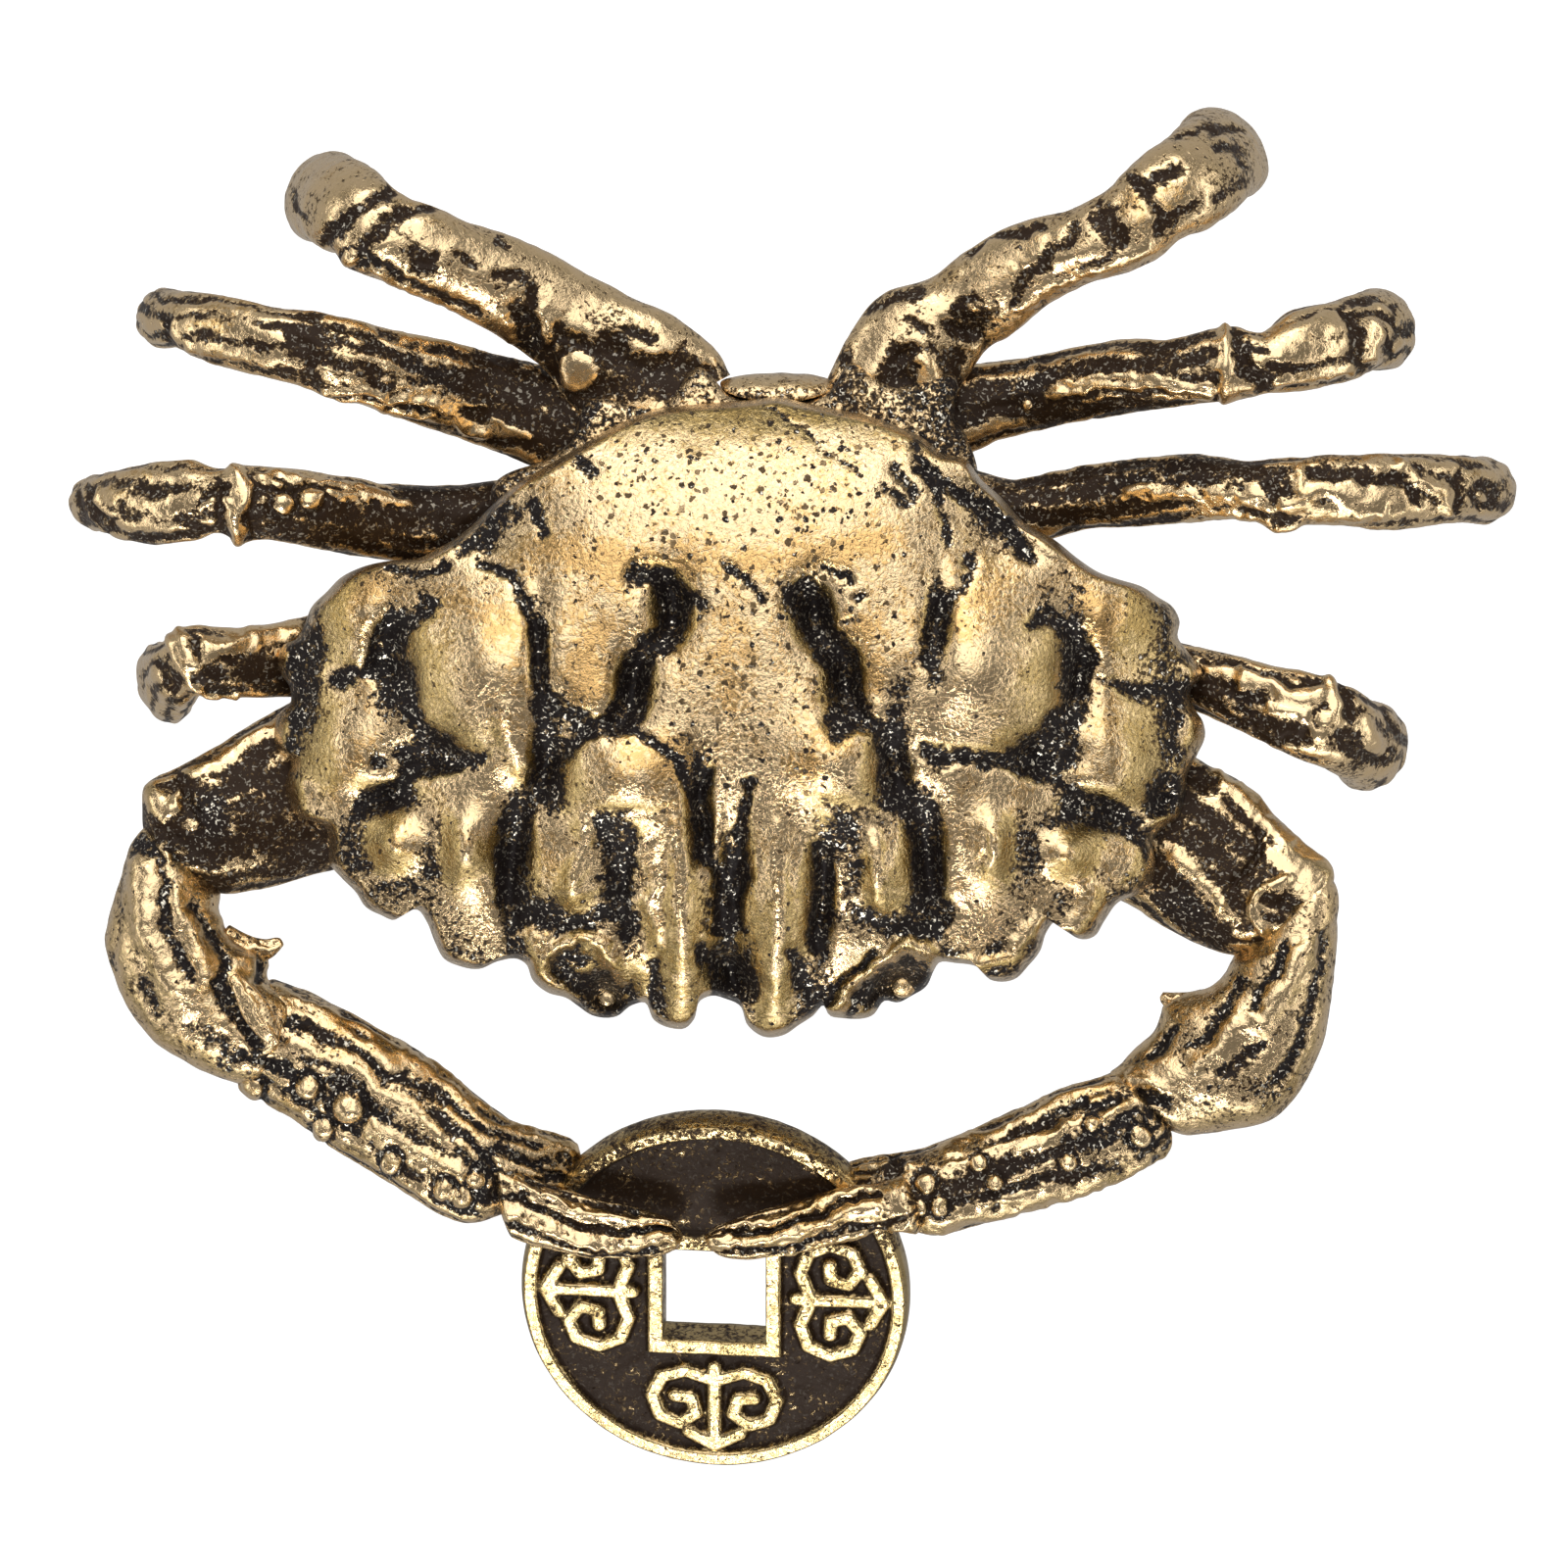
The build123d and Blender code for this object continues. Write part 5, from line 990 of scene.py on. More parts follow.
def back_shield():
    """Points centre + v (edge - centre), v from 0 to 1.

    height = rim + crown (1 - |x|^2.4)(1 - fall d^power) + the sum of rise exp(-(dx/sx)^2 - (dy/sy)^2) over
    the masses + strokes and roughness, where d is the share of the way from the peak to the rear or to the
    front. The lip then falls to the seam along a quarter circle.
    """
    seam, top = node_heights("carapace")
    centre = np.array(SHIELD_CENTRE, float)
    dome_v = np.linspace(INNERMOST_SHARE, 1 - LIP_SHARE, SHIELD_OUT - LIP_ROWS)
    lip_v = 1 - LIP_SHARE + LIP_SHARE * np.sin(np.linspace(0.1, 1, LIP_ROWS) * np.pi / 2)
    v = np.concatenate([dome_v, lip_v])
    flat = centre + v[:, None, None] * (shield_edge - centre)
    x_share = (flat[..., 0] - centre[0]) / SHIELD_HALF_WIDTH
    y_share = (centre[1] - flat[..., 1]) / SHIELD_HALF_LENGTH
    rear = np.clip((y_share - PEAK_SHARE) / (1 - PEAK_SHARE), 0, 1.1)
    front = np.clip((PEAK_SHARE - y_share) / (1 + PEAK_SHARE), 0, 1.1)
    along = 1 - REAR_FALL_SHARE * rear**REAR_POWER - FRONT_FALL_SHARE * front**FRONT_POWER
    rim = seam + (top - seam) * RIM_SHARE
    z = rim + (top - rim) * np.clip(1 - np.abs(x_share) ** SHIELD_POWER, 0, 1) * along
    masses = np.zeros(z.shape)
    for mass_x, mass_y, spread_x, spread_y, mass_rise in SHIELD_MASSES:
        away = ((flat[..., 0] - mass_x) / spread_x) ** 2 + ((flat[..., 1] - mass_y) / spread_y) ** 2
        masses += mass_rise * np.exp(-away)
    rise, dark = press(flat[..., 0], flat[..., 1], SHIELD_STROKES)
    points = np.stack([flat[..., 0], -flat[..., 1], z], -1)
    rough = lumps(points, 34.0) + lumps(points + 50, 11.0) * 0.35
    inside = smoothstep(1 - v, 0.0, 0.05)[:, None]
    relief = masses + (rise + rough) * (EDGE_RELIEF_SHARE + (1 - EDGE_RELIEF_SHARE) * inside)
    points[..., 2] += relief
    # Patina in the fine hollows, and patina with painted shade in the broad dips between the lobes
    dark = GROOVE_DARK_SHARE * dark + FINE_HOLLOW * hollows(relief, 3, 3)
    dark += GROOVE_DARK_SHARE * BROAD_PATINA_AND_SHADE * hollows(relief, 10, 8)
    dark -= PLATEAU_CLEAN * np.exp(-(distance_to(flat[..., 0], flat[..., 1], PLATEAU) / PLATEAU_WIDTH) ** 4)
    rubbed = np.exp(-((distance_to(flat[..., 0], flat[..., 1], REAR_EDGE) / REAR_EDGE_WIDTH) ** 4))
    margin = smoothstep(v, *MARGIN_SHARES) - 0.7 * smoothstep(v, MARGIN_SHARES[1], 1.0)
    dark += MARGIN_DARK * margin[:, None] * (1 - rubbed)
    lip = np.clip((v - 1 + LIP_SHARE) / LIP_SHARE, 0, 1)[:, None]
    points[..., 2] -= (points[..., 2] - seam) * (1 - np.sqrt(np.clip(1 - lip**2, 0, 1)))
    under_v = np.linspace(0.985, 0.02, SHIELD_UNDER)
    under = centre + under_v[:, None, None] * (shield_edge - centre)
    drop = UNDER_BULGE * np.sqrt(1 - under_v**2)[:, None]
    under = np.stack([under[..., 0], -under[..., 1], seam - drop + 0 * under[..., 0]], -1)
    dark = np.concatenate([dark + 0.03, np.full(under.shape[:2], UNDERSIDE_DARK)])
    return np.concatenate([points, under]), dark


shield_shape, shield_dark = back_shield()
flat_x, flat_y = shield_shape[..., 0], -shield_shape[..., 1]
shield_warm = SHIELD_WARM + press(flat_x, flat_y, SHIELD_WARMTH)[0]
near_pits = np.exp(-((distance_to(flat_x, flat_y, PITTED) / PITTED_WIDTH) ** 4))
shield_skin = skin(
    "carapace_skin", shield_shape, shield_dark, shield_warm, SHIELD_PITS + PLATEAU_PITS * near_pits,
    SHIELD_SLOPE_SHADE, turned=True)
dress(shield_skin, "carapace")

# %% [markdown]
# Under the shield sits the chest. It is a flat mass whose edge runs round the roots of the limbs, with
# creases between them. A profile of shares and heights, carried round the edge, gives its wall and belly.

# %% Chest
CHEST_EDGE = [
    (716, 376), (675, 414), (600, 408), (562, 466), (502, 497), (498, 564), (369, 628), (375, 687),
    (353, 705), (420, 843), (481, 927), (599, 986), (741, 999), (878, 986), (1001, 927), (1061, 858),
    (1157, 730), (1107, 684), (1130, 618), (1002, 552), (999, 490), (986, 444), (977, 383), (909, 396),
    (868, 372), (847, 400), (738, 400),
]
CREASE_POINTS = [
    (570, 430), (500, 530), (372, 660), (981, 410), (1000, 520), (1118, 650), (355, 700), (1150, 735)]
CHEST_ROUND, CHEST_ROWS = 480, 80
CHEST_HALF_WIDTH = 400
INNERMOST_REACH = 0.01
BAND_SHARE = 0.172
BELLY_SHARE, BELLY_ROUNDING_SHARE = 0.82, 0.06
CREASE_WIDTH, CREASE_SHARE, CREASE_LIFT = 24, 0.05, 6
CHEST_DARK = 0.55


def chest():
    """The edge between the limbs' roots, carried straight up from the band and drawn in to the belly below.

    Each row is centre + r (edge - centre). Round each crease the reach is shorter by CREASE_SHARE.
    """
    bottom, top = node_heights("underbody")
    band = bottom + (top - bottom) * BAND_SHARE
    edge = closed_curve(CHEST_EDGE, CHEST_ROUND)
    centre = np.array(SHIELD_CENTRE, float)
    profile = np.array([
        (INNERMOST_REACH, bottom), (BELLY_SHARE - BELLY_ROUNDING_SHARE, bottom), (BELLY_SHARE, bottom + 3),
        (0.93, (bottom + band) / 2), (0.99, band), (1.0, band + 12),
        (1.0, top - 14), (0.985, top - 4), (0.95, top), (INNERMOST_REACH, top)])
    steps = np.hypot(np.diff(profile[:, 0]) * CHEST_HALF_WIDTH, np.diff(profile[:, 1]))
    knots = np.concatenate([[0], np.cumsum(steps)])
    at = np.linspace(0, knots[-1], CHEST_ROWS)
    reach, z = np.interp(at, knots, profile[:, 0]), np.interp(at, knots, profile[:, 1])
    flat = centre + reach[:, None, None] * (edge - centre)
    points = np.stack([flat[..., 0], -flat[..., 1], z[:, None] + 0 * flat[..., 0]], -1)
    crease = np.zeros(flat.shape[:2])
    for crease_x, crease_y in CREASE_POINTS:
        away = np.hypot(flat[..., 0] - crease_x, flat[..., 1] - crease_y)
        crease += np.exp(-((away / CREASE_WIDTH) ** 2))
    points[..., :2] -= (points[..., :2] - centre * (1, -1)) * CREASE_SHARE * crease[..., None]
    below = (z < band)[:, None]
    points[..., 2] += CREASE_LIFT * crease * below + lumps(points, 26.0) * 2 * below
    points[..., :2] += lumps(points, 22.0)[..., None] * 1.5
    points[..., 2] = np.clip(points[..., 2], bottom, top)
    return points, CHEST_DARK + 0.5 * crease + 0.2 * lumps(points, 50.0)


chest_shape, chest_dark = chest()
dress(skin("underbody_skin", chest_shape, chest_dark), "underbody")

# %% [markdown]
# The tail leaves the chest at the rear and is folded forward beneath it, ring by ring. Only its first ring
# shows from above, behind the shield. It is a flat tube along a bent path, and |sin| gives its rings.

# %% Folded tail
TAIL_RINGS = 7
TAIL_ALONG, TAIL_AROUND = 220, 72
TAIL_HALF_DEPTH = 9.0
TAIL_END_SHARE = 0.05
RING_SHARPNESS, RING_GROOVE = 0.35, 5
TAIL_DARK, RING_DARK = 0.1, 0.9


def folded_tail():
    """A flat strip that starts at the rear, turns down and runs forward, with rings |sin(7 pi s)|^0.35."""
    low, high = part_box("abdomen_flap")
    bottom, top = node_heights("abdomen_flap")
    middle = ((low.x + high.x) / 2 - MIDDLE_X) / PIXEL + PHOTO_MIDDLE[0]
    rear = (high.y - MIDDLE_Y) / PIXEL - PHOTO_MIDDLE[1]
    front = (low.y - MIDDLE_Y) / PIXEL - PHOTO_MIDDLE[1]
    half = (high.x - low.x) / 2 / PIXEL
    drop = (top - bottom) / 2 * 1.5
    bend = np.linspace(0, np.pi / 2, 7)
    # From the chest, round the bend, and forward along the belly
    path_y = np.concatenate([
        rear - 22 - 26 * (1 - np.sin(bend[:3] + 0.35)),
        rear - 12 - 60 * (1 - np.cos(bend[1:])),
        np.linspace(rear - 110, front + 6, 6)])
    path_z = np.concatenate([
        [top - 8, top - 10, top - 16],
        bottom + 10 + drop * (1 - np.sin(bend[1:])),
        np.full(6, bottom + 10)])
    wide_shares = np.concatenate([[0.7, 0.85, 0.95], np.full(6, 0.98), np.linspace(0.95, 0.45, 6)])
    level = np.ones(len(path_y))
    rows = np.column_stack([
        level * middle, path_y, path_z, level, level * 0, half * wide_shares, level * TAIL_HALF_DEPTH])
    points, outward, s, _ = tube(rows, TAIL_ALONG, TAIL_AROUND, TAIL_END_SHARE, TAIL_END_SHARE)
    rings = np.abs(np.sin(s * np.pi * TAIL_RINGS)) ** RING_SHARPNESS
    grooves = outward * ((rings - 1) * RING_GROOVE)[..., None]
    points = points + grooves + outward * lumps(points, 14.0)[..., None]
    return points, TAIL_DARK + RING_DARK * (1 - rings)


tail_shape, tail_dark = folded_tail()
dress(skin("abdomen_flap_skin", tail_shape, tail_dark), "abdomen_flap")

# %% [markdown]
# The eyes are bright beads on short stalks that stand in the two orbits. One tube makes both: two narrow
# stations for the stalk, and then the widths of a ball.

# %% Eyes
EYE_PLACES = {"left_eye": (621, 1016), "right_eye": (920, 1002)}
EYE_RADIUS = 15.5
STALK_RADIUS = 6
# How far behind the eye's middle, and how far below it, each station of the stalk lies
STALK_STEPS = [(40, 4), (22, 2)]
BALL_STATIONS, LEAST_BALL = 9, 0.15
EYE_ALONG, EYE_AROUND = 120, 56
EYE_START_SHARE, EYE_END_SHARE = 0.05, 0.06
EYE_DARK, EYE_GRAIN = -0.1, 0.3

for name, (eye_x, eye_y) in EYE_PLACES.items():
    bottom, top = node_heights(name)
    middle = (bottom + top) / 2
    thin = STALK_RADIUS
    rows = [(eye_x, -eye_y + back, middle - down, 1, 0, thin, thin) for back, down in STALK_STEPS]
    spread = np.linspace(-1, 1, BALL_STATIONS)
    ball_y = -eye_y - spread * EYE_RADIUS
    ball_half = EYE_RADIUS * np.sqrt(np.clip(1 - spread**2, LEAST_BALL, 1))
    rows += [(eye_x, y, middle, 1, 0, half, half) for y, half in zip(ball_y, ball_half)]
    body = tube(rows, EYE_ALONG, EYE_AROUND, EYE_START_SHARE, EYE_END_SHARE)
    shape, dark = sculpt(body, [], [], EYE_DARK, EYE_GRAIN)
    dress(skin(name + "_skin", shape, dark), name)

# %% [markdown]
# The coin is a disc with a square hole. Its grid runs round the coin one way, and across the top, down the
# hole, back along the bottom and up the edge the other way, so it closes on itself without a seam. Both
# faces have a raised rim, a raised border round the hole and pairs of plain scrolls.

# %% Cash coin
COIN_CENTRE = (730.8, -1312.4)
COIN_NORMAL = np.array([-0.0924, -0.46746, 0.87917])
COIN_RADIUS = 198.5
COIN_HALF_THICK = 20.8
HOLE_HALF = 52.8
RIM_WIDTH = 17
BORDER_WIDTH = 15
RECESS = 8
EDGE_ROUNDING = 4
CURL = [
    (8, -96), (30, -88), (54, -96), (64, -118), (56, -141), (36, -149), (19, -137), (24, -119), (40, -118)]
SCROLLS = [[(0, -84), (0, -166)], [(-26, -159), (0, -173), (26, -159)], CURL, [(-u, v) for u, v in CURL]]
SCROLL_QUARTERS = [(1, 0, 0, 1), (0, -1, 1, 0), (0, 1, -1, 0)]
SCROLL_HALF, SCROLL_RISE_SHARE = 7.5, 0.9
COIN_ROUND = 460
FACE_ROWS, HOLE_ROWS, EDGE_ROWS = 84, 10, 12
RECESS_DARK, RELIEF_CLEAN = 1.2, 1.25
HOLE_WALL_RELIEF = 0.6
FAR_RIM, FAR_RIM_DARK = (-1290, -1250), 0.5
COIN_PITS = 0.2


def coin_relief(u, v):
    """Share from 0 in the recess to 1 on the rim and the hole's border, and 0.9 on the scrolls."""
    radius = np.hypot(u, v)
    rim = smoothstep(radius, COIN_RADIUS - RIM_WIDTH - 3, COIN_RADIUS - RIM_WIDTH + 1)
    border_edge = HOLE_HALF + BORDER_WIDTH
    border = 1 - smoothstep(np.maximum(np.abs(u), np.abs(v)), border_edge - 1, border_edge + 3)
    raised = np.maximum(rim, border)
    for a, b, c, d in SCROLL_QUARTERS:
        turned_u, turned_v = a * u + b * v, c * u + d * v
        for scroll in SCROLLS:
            away = distance_to(turned_u, turned_v, scroll)
            scroll_share = 1 - smoothstep(away, SCROLL_HALF - 2, SCROLL_HALF + 3)
            raised = np.maximum(raised, SCROLL_RISE_SHARE * scroll_share)
    return raised


def coin_points():
    """centre + u U + v V + h N, where (u, v) runs between the circle and the square and h follows the relief.

    U, V and N are the coin's own directions: across, along and square to its face. The recess is darkest, and
    what is raised turns darker towards the crab's mouth, as it does in the photograph.
    """
    across = unit(np.array([1.0, 0, 0]) - COIN_NORMAL[0] * COIN_NORMAL)
    along = np.cross(COIN_NORMAL, across)
    turn = (np.arange(COIN_ROUND) + 0.5) / COIN_ROUND * 2 * np.pi
    cos, sin = np.cos(turn), np.sin(turn)
    square = HOLE_HALF / np.maximum(np.abs(cos), np.abs(sin))
    share = np.linspace(1, 0, FACE_ROWS)[:, None]
    flat_radius = COIN_RADIUS - EDGE_ROUNDING
    reach = square + share * (flat_radius - square)
    face_u, face_v = reach * cos, reach * sin
    relief = coin_relief(face_u, face_v)
    top = COIN_HALF_THICK - RECESS * (1 - relief)
    down = np.linspace(1, -1, HOLE_ROWS + 2)[1:-1, None]
    bulge = np.linspace(-1, 1, EDGE_ROWS)[:, None]
    edge_reach = flat_radius + EDGE_ROUNDING * np.sqrt(1 - bulge**2)
    wall, edge = np.ones((HOLE_ROWS, COIN_ROUND)), np.ones((EDGE_ROWS, COIN_ROUND))
    u = np.concatenate([face_u, wall * square * cos, face_u[::-1], edge_reach * cos])
    v = np.concatenate([face_v, wall * square * sin, face_v[::-1], edge_reach * sin])
    wall_h, edge_h = wall * down * (COIN_HALF_THICK - 2), edge * bulge * (COIN_HALF_THICK - 3)
    h = np.concatenate([top, wall_h, -top[::-1], edge_h])
    relief = np.concatenate([relief, wall * HOLE_WALL_RELIEF, relief[::-1], edge])
    low, high = node_heights("coin")
    centre = np.array([*COIN_CENTRE, (low + high) / 2])
    points = centre + u[..., None] * across + v[..., None] * along
    rough = lumps(points, 24.0) * 0.8 + lumps(points, 8.0) * 0.5
    far_rim = FAR_RIM_DARK * smoothstep(points[..., 1], *FAR_RIM)
    dark = RECESS_DARK - RELIEF_CLEAN * relief + far_rim * relief
    return points + (h + rough * np.sign(h))[..., None] * COIN_NORMAL, dark


coin_shape, coin_dark = coin_points()
coin_skin = skin("coin_skin", coin_shape, coin_dark, pits=np.full(coin_dark.shape, COIN_PITS), ring=True)
dress(coin_skin, "coin")

# %% [markdown]
# Shader maths reads best when it looks like maths. This small class wraps a socket, so that sockets add and
# multiply like numbers, and one method makes every other node. All textures use object coordinates in
# metres, so their grain has a real size and stays the same on every piece.

# %% Shader sockets that do sums
class Wire:
    """A shader socket that adds, subtracts and multiplies like a number."""

    def __init__(self, tree, socket):
        self.tree, self.socket = tree, socket

    def node(self, kind, settings, inputs, out=0):
        """A new node: its settings first, then its inputs, then the output that is wanted."""
        node = self.tree.nodes.new(kind)
        for key, value in settings.items():
            setattr(node, key, value)
        for key, value in inputs.items():
            if isinstance(value, Wire):
                self.tree.links.new(value.socket, node.inputs[key])
            else:
                node.inputs[key].default_value = value
        return Wire(self.tree, node.outputs[out])

    def maths(self, operation, a, b):
        """One Math node, for the sums below and for any other operation on two wires or numbers."""
        return self.node("ShaderNodeMath", {"operation": operation}, {0: a, 1: b})

    def __add__(self, other):
        return self.maths("ADD", self, other)

    def __sub__(self, other):
        return self.maths("SUBTRACT", self, other)

    def __rsub__(self, other):
        return self.maths("SUBTRACT", other, self)

    def __mul__(self, other):
        return self.maths("MULTIPLY", self, other)

    __radd__ = __add__
    __rmul__ = __mul__

    def step(self, low, high, start=0.0, end=1.0):
        """start below low, end above high and a smooth ramp between them."""
        settings = {"interpolation_type": "SMOOTHSTEP"}
        ends = {"Value": self, "From Min": low, "From Max": high, "To Min": start, "To Max": end}
        return self.node("ShaderNodeMapRange", settings, ends)

    def mix(self, below, above):
        """The colour below where this wire is 0, and above where it is 1."""
        return self.node("ShaderNodeMix", {"data_type": "RGBA"}, {0: self, 6: below, 7: above}, 2)


# %% [markdown]
# Antique brass is bright metal under a dark skin. The patina attribute says how deep in a hollow a point is,
# and fine noise breaks its edge into the speckle that rubbing leaves. Small round pits from the casting
# keep their patina everywhere. The metal drifts between pale gold and a redder gold, and is duller where it
# is dark, apart from a few silver glints. A darker, greener gold is painted shade: it marks the slopes, and
# it covers the whole coin, which is the same metal with hardly a glint, so one function makes both.

# %% Antique brass
PALE_GOLD = (0.95, 0.70, 0.40, 1)
RED_GOLD = (0.80, 0.48, 0.17, 1)
# Painted shade: the darker, greener gold of the slopes and of the whole coin
SHADE_GOLD = (0.36, 0.26, 0.09, 1)
BROWN = (0.16, 0.105, 0.05, 1)
PATINA = (0.013, 0.009, 0.008, 1)
SILVER = (0.85, 0.78, 0.64, 1)
UMBER = (0.028, 0.014, 0.006, 1)
GRAIN = 1 / (5 * PIXEL)
GLINT_GRAIN = 1.2 * GRAIN
PIT_GRAIN = 1 / (9 * PIXEL)
PIT_WOBBLE = 7 * PIXEL
CLOUD = 1 / (24 * PIXEL)
BROAD = 1 / (90 * PIXEL)
PATINA_SPECKLE, PATINA_CLOUD = 2.7, 1.3
WARM_SPECKLE, WARM_CLOUD = 3.4, 1.8
SPECULAR = 0.18
# Where each ramp of the finish begins and where it is full, and how far the warm tone and the painted shade
# go
PITTED_RAMP, PIT_RAMP, GLINT_RAMP = (0.1, 0.5), (-0.05, 0.06), (0.60, 0.70)
WORN_RAMP, BROWN_RAMP, CRUST_RAMP = (0.16, 0.90), (0.0, 0.6), (0.45, 1.0)
WARM_RAMP, WARM_MOST = (0.1, 1.0), 0.85
SHADE_TONE_RAMP, SHADE_TONE_MOST = (0.12, 0.95), 0.8
BUMP_STRENGTH, BUMP_HEIGHT = 0.7, 3 * PIXEL


def baked(place, title):
    """The mesh attribute of that name, as a number."""
    return place.node("ShaderNodeAttribute", {"attribute_name": title}, {}, "Fac")


def noise(place, scale, detail, out=0, **more):
    """Noise of one grain, as a number round 0.5, or as three numbers from its Color."""
    inputs = {"Vector": place, "Scale": scale, "Detail": detail, **more}
    return place.node("ShaderNodeTexNoise", {}, inputs, out)


def antique_brass(name, bright=0.0, glints=1.0, all_over_shade=0.0):
    """Gold where patina + speckle is low, near black where it is high or inside a pit.

    bright lifts the whole finish out of the patina, glints is the strength of the silver specks in it, and
    the last argument adds painted shade all over, on top of the painted shade on slopes.
    """
    material = bpy.data.materials.new(name)
    material.use_nodes = True
    tree = material.node_tree
    shader = tree.nodes["Principled BSDF"]
    shader.inputs["Specular IOR Level"].default_value = SPECULAR
    place = Wire(tree, None).node("ShaderNodeTexCoord", {}, {}, "Object")
    depth, warmth, pitting, slope_shade = (baked(place, title) for title in ("patina", "warmth", "pits", "slope_shade"))
    speckle = noise(place, GRAIN, 3.0, Roughness=0.6, Distortion=0.5)
    cloud = noise(place, CLOUD, 2.0)
    broad = noise(place, BROAD, 1.0)
    wobble = noise(place, GRAIN, 1.0, "Color")
    bend = {0: wobble, 1: (PIT_WOBBLE,) * 3, 2: place}
    bent = place.node("ShaderNodeVectorMath", {"operation": "MULTIPLY_ADD"}, bend)
    cells = {"Vector": bent, "Scale": PIT_GRAIN}
    holes = place.node("ShaderNodeTexVoronoi", {}, cells, "Distance")
    chance = place.node("ShaderNodeTexVoronoi", {}, cells, "Color")
    glint = noise(place, GLINT_GRAIN, 1.0, Distortion=0.8).step(*GLINT_RAMP, 0.0, glints)
    glint = glint * pitting.step(*PITTED_RAMP, 0.3, 1.0)
    size = chance.node("ShaderNodeSeparateColor", {}, {0: chance})
    fill = chance.node("ShaderNodeSeparateColor", {}, {0: chance}, "Green")
    pit = (size * 0.40 + pitting * 0.26 - 0.26 - holes).step(*PIT_RAMP)
    worn = depth + (speckle - 0.5) * PATINA_SPECKLE + (cloud - 0.5) * PATINA_CLOUD - bright
    dark = worn.step(*WORN_RAMP)
    dark = dark.maths("MAXIMUM", dark, pit * (fill * 0.6 + 0.35))
    warm = warmth + (cloud - 0.5) * WARM_CLOUD + (speckle - 0.5) * WARM_SPECKLE + (broad - 0.5)
    warm = warm.step(*WARM_RAMP, 0.0, WARM_MOST)
    # Painted shade: the slopes, and the whole coin through the last argument, turn to the darker gold
    shade_tone = slope_shade + all_over_shade + (cloud - 0.5) * 0.7 + (speckle - 0.5) * 0.8
    shade_tone = shade_tone.step(*SHADE_TONE_RAMP, 0.0, SHADE_TONE_MOST)
    gold = shade_tone.mix(warm.mix(PALE_GOLD, RED_GOLD), SHADE_GOLD)
    brown = dark.step(*BROWN_RAMP).mix(gold, BROWN)
    crust = pitting.step(*PITTED_RAMP).mix(UMBER, PATINA)
    colour = dark.step(*CRUST_RAMP).mix(brown, glint.mix(crust, SILVER))
    sheen = dark * (1 - glint)
    height = speckle * (pitting * 0.5 + 0.3) - dark * 0.4 - pit * 0.9
    relief = {"Strength": BUMP_STRENGTH, "Distance": BUMP_HEIGHT, "Height": height}
    bump = height.node("ShaderNodeBump", {}, relief, "Normal")
    for key, wire in {
        "Base Color": colour,
        "Metallic": sheen.step(0.3, 1, 1.0, 0.2),
        "Roughness": sheen.step(0, 1, 0.21, 0.45) + (cloud - 0.5) * 0.15,
        "Normal": bump,
    }.items():
        tree.links.new(wire.socket, shader.inputs[key])
    return material


brass = antique_brass("antique_brass_patina")
# The coin's copy of the finish carries painted shade all over
coin_brass = antique_brass("coin_brass_patina_and_shade", bright=0.05, glints=0.1, all_over_shade=0.7)
for node, piece in pieces:
    piece.data.materials.append(coin_brass if node == "coin" else brass)
print("finish of", len(pieces), "pieces,", len(brass.node_tree.nodes), "shader nodes each")

# %% [markdown]
# The picture was taken from straight above on white paper, in a tent of soft light. The camera is far away
# with a long lens, so the view is almost free of perspective. A large softbox above gives the pale flat tops,
# low bright walls give the white edges, and the gap between them leaves the slopes dark. The paper glows by
# itself, which keeps it white, and the brass doesn't mirror it: below the horizon it mirrors a middle grey.

# %% Paper, light and camera
FRAME_WIDTH = PHOTO_SIDE * PIXEL
CAMERA_HEIGHT = 1.5
SENSOR_MM = 36
PAPER_FRAMES = 6
PAPER_GREY, PAPER_ROUGHNESS, PAPER_GLOW = 0.3, 0.9, 0.98
GROUND_GREY, SKY_GREY = 0.38, 0.17
# Each softbox: its place from the picture's centre and its height, its width and depth in metres, its watts
SOFTBOXES = {
    "top_softbox": ((0, 0.18, 0.30), (0.44, 0.52), 1.0),
    "rear_softbox": ((0, 0.50, 0.20), (0.50, 0.24), 0.55),
    "front_key": ((-0.06, -0.38, 0.25), (0.14, 0.07), 0.5),
    "front_wall": ((0, -0.45, 0.08), (0.7, 0.12), 0.7),
    "left_wall": ((-0.45, 0, 0.08), (0.7, 0.12), 0.55),
    "right_wall": ((0.45, 0, 0.08), (0.7, 0.12), 0.55),
}
centre_x = MIDDLE_X + (PHOTO_SIDE / 2 - PHOTO_MIDDLE[0]) * PIXEL
centre_y = MIDDLE_Y + (PHOTO_MIDDLE[1] - PHOTO_SIDE / 2) * PIXEL

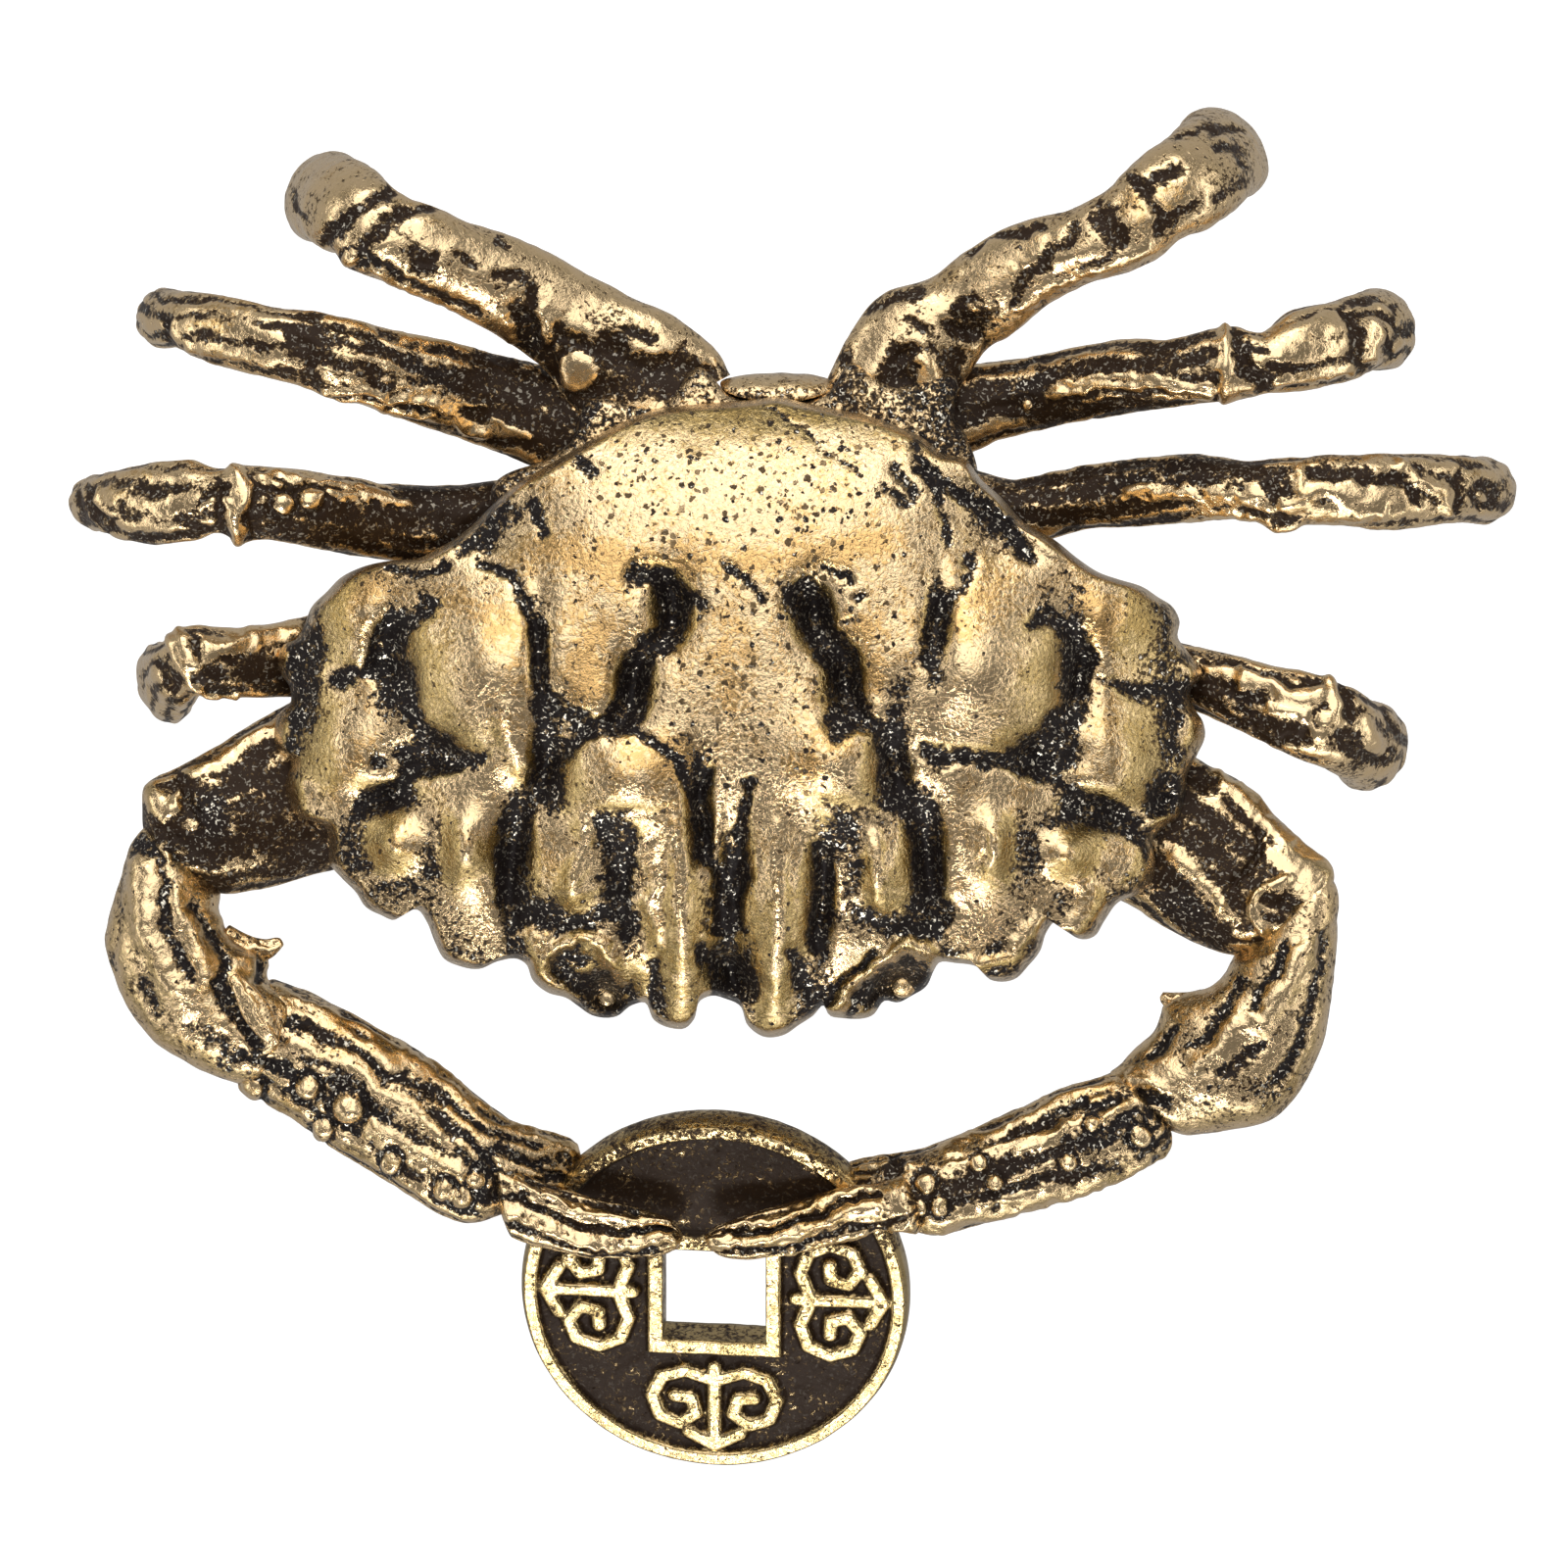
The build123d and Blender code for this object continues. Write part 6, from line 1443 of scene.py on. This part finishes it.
paper_mesh = bpy.data.meshes.new("paper")
half = PAPER_FRAMES * FRAME_WIDTH
corners = [(-half, -half), (half, -half), (half, half), (-half, half)]
paper_mesh.from_pydata([(x + centre_x, y + centre_y, cad_low.z) for x, y in corners], [], [(0, 1, 2, 3)])
paper = bpy.data.objects.new("paper", paper_mesh)
bpy.context.scene.collection.objects.link(paper)
paper_look = bpy.data.materials.new("white_paper")
paper_look.use_nodes = True
paper_shader = paper_look.node_tree.nodes["Principled BSDF"]
paper_shader.inputs["Base Color"].default_value = (PAPER_GREY, PAPER_GREY, PAPER_GREY, 1)
paper_shader.inputs["Roughness"].default_value = PAPER_ROUGHNESS
paper_shader.inputs["Emission Color"].default_value = (1, 1, 1, 1)
paper_shader.inputs["Emission Strength"].default_value = PAPER_GLOW
paper_mesh.materials.append(paper_look)
paper.visible_glossy = False


def softbox(name, place, aim, size, power):
    """A rectangular area light at place that faces the point aim and isn't seen by the camera."""
    light = bpy.data.lights.new(name, "AREA")
    light.shape = "RECTANGLE"
    light.size, light.size_y = size
    light.energy = power
    lamp = bpy.data.objects.new(name, light)
    bpy.context.scene.collection.objects.link(lamp)
    lamp.location = place
    lamp.rotation_euler = (Vector(aim) - Vector(place)).to_track_quat("-Z", "Y").to_euler()
    lamp.visible_camera = False


aim = (centre_x, centre_y, cad_low.z + (cad_high.z - cad_low.z) / 2)
for name, ((x, y, z), size, power) in SOFTBOXES.items():
    softbox(name, (centre_x + x, centre_y + y, z), aim, size, power)

world = bpy.data.worlds.new("studio")
world.use_nodes = True
sky = Wire(world.node_tree, None).node("ShaderNodeTexCoord", {}, {}, "Generated")
height = sky.node("ShaderNodeSeparateXYZ", {}, {0: sky}, "Z")
tone = height.step(-0.1, 0.05).mix((GROUND_GREY,) * 3 + (1,), (SKY_GREY,) * 3 + (1,))
background = world.node_tree.nodes["Background"]
world.node_tree.links.new(tone.socket, background.inputs["Color"])
bpy.context.scene.world = world

camera_data = bpy.data.cameras.new("camera")
camera_data.sensor_width = SENSOR_MM
camera_data.lens = SENSOR_MM * CAMERA_HEIGHT / FRAME_WIDTH
camera_data.clip_end = 10
camera = bpy.data.objects.new("camera", camera_data)
bpy.context.scene.collection.objects.link(camera)
camera.location = (centre_x, centre_y, CAMERA_HEIGHT)
bpy.context.scene.camera = camera
bpy.context.scene.view_settings.view_transform = "Standard"
print("camera", CAMERA_HEIGHT, "m up, lens", round(camera_data.lens), "mm,", len(SOFTBOXES), "softboxes")
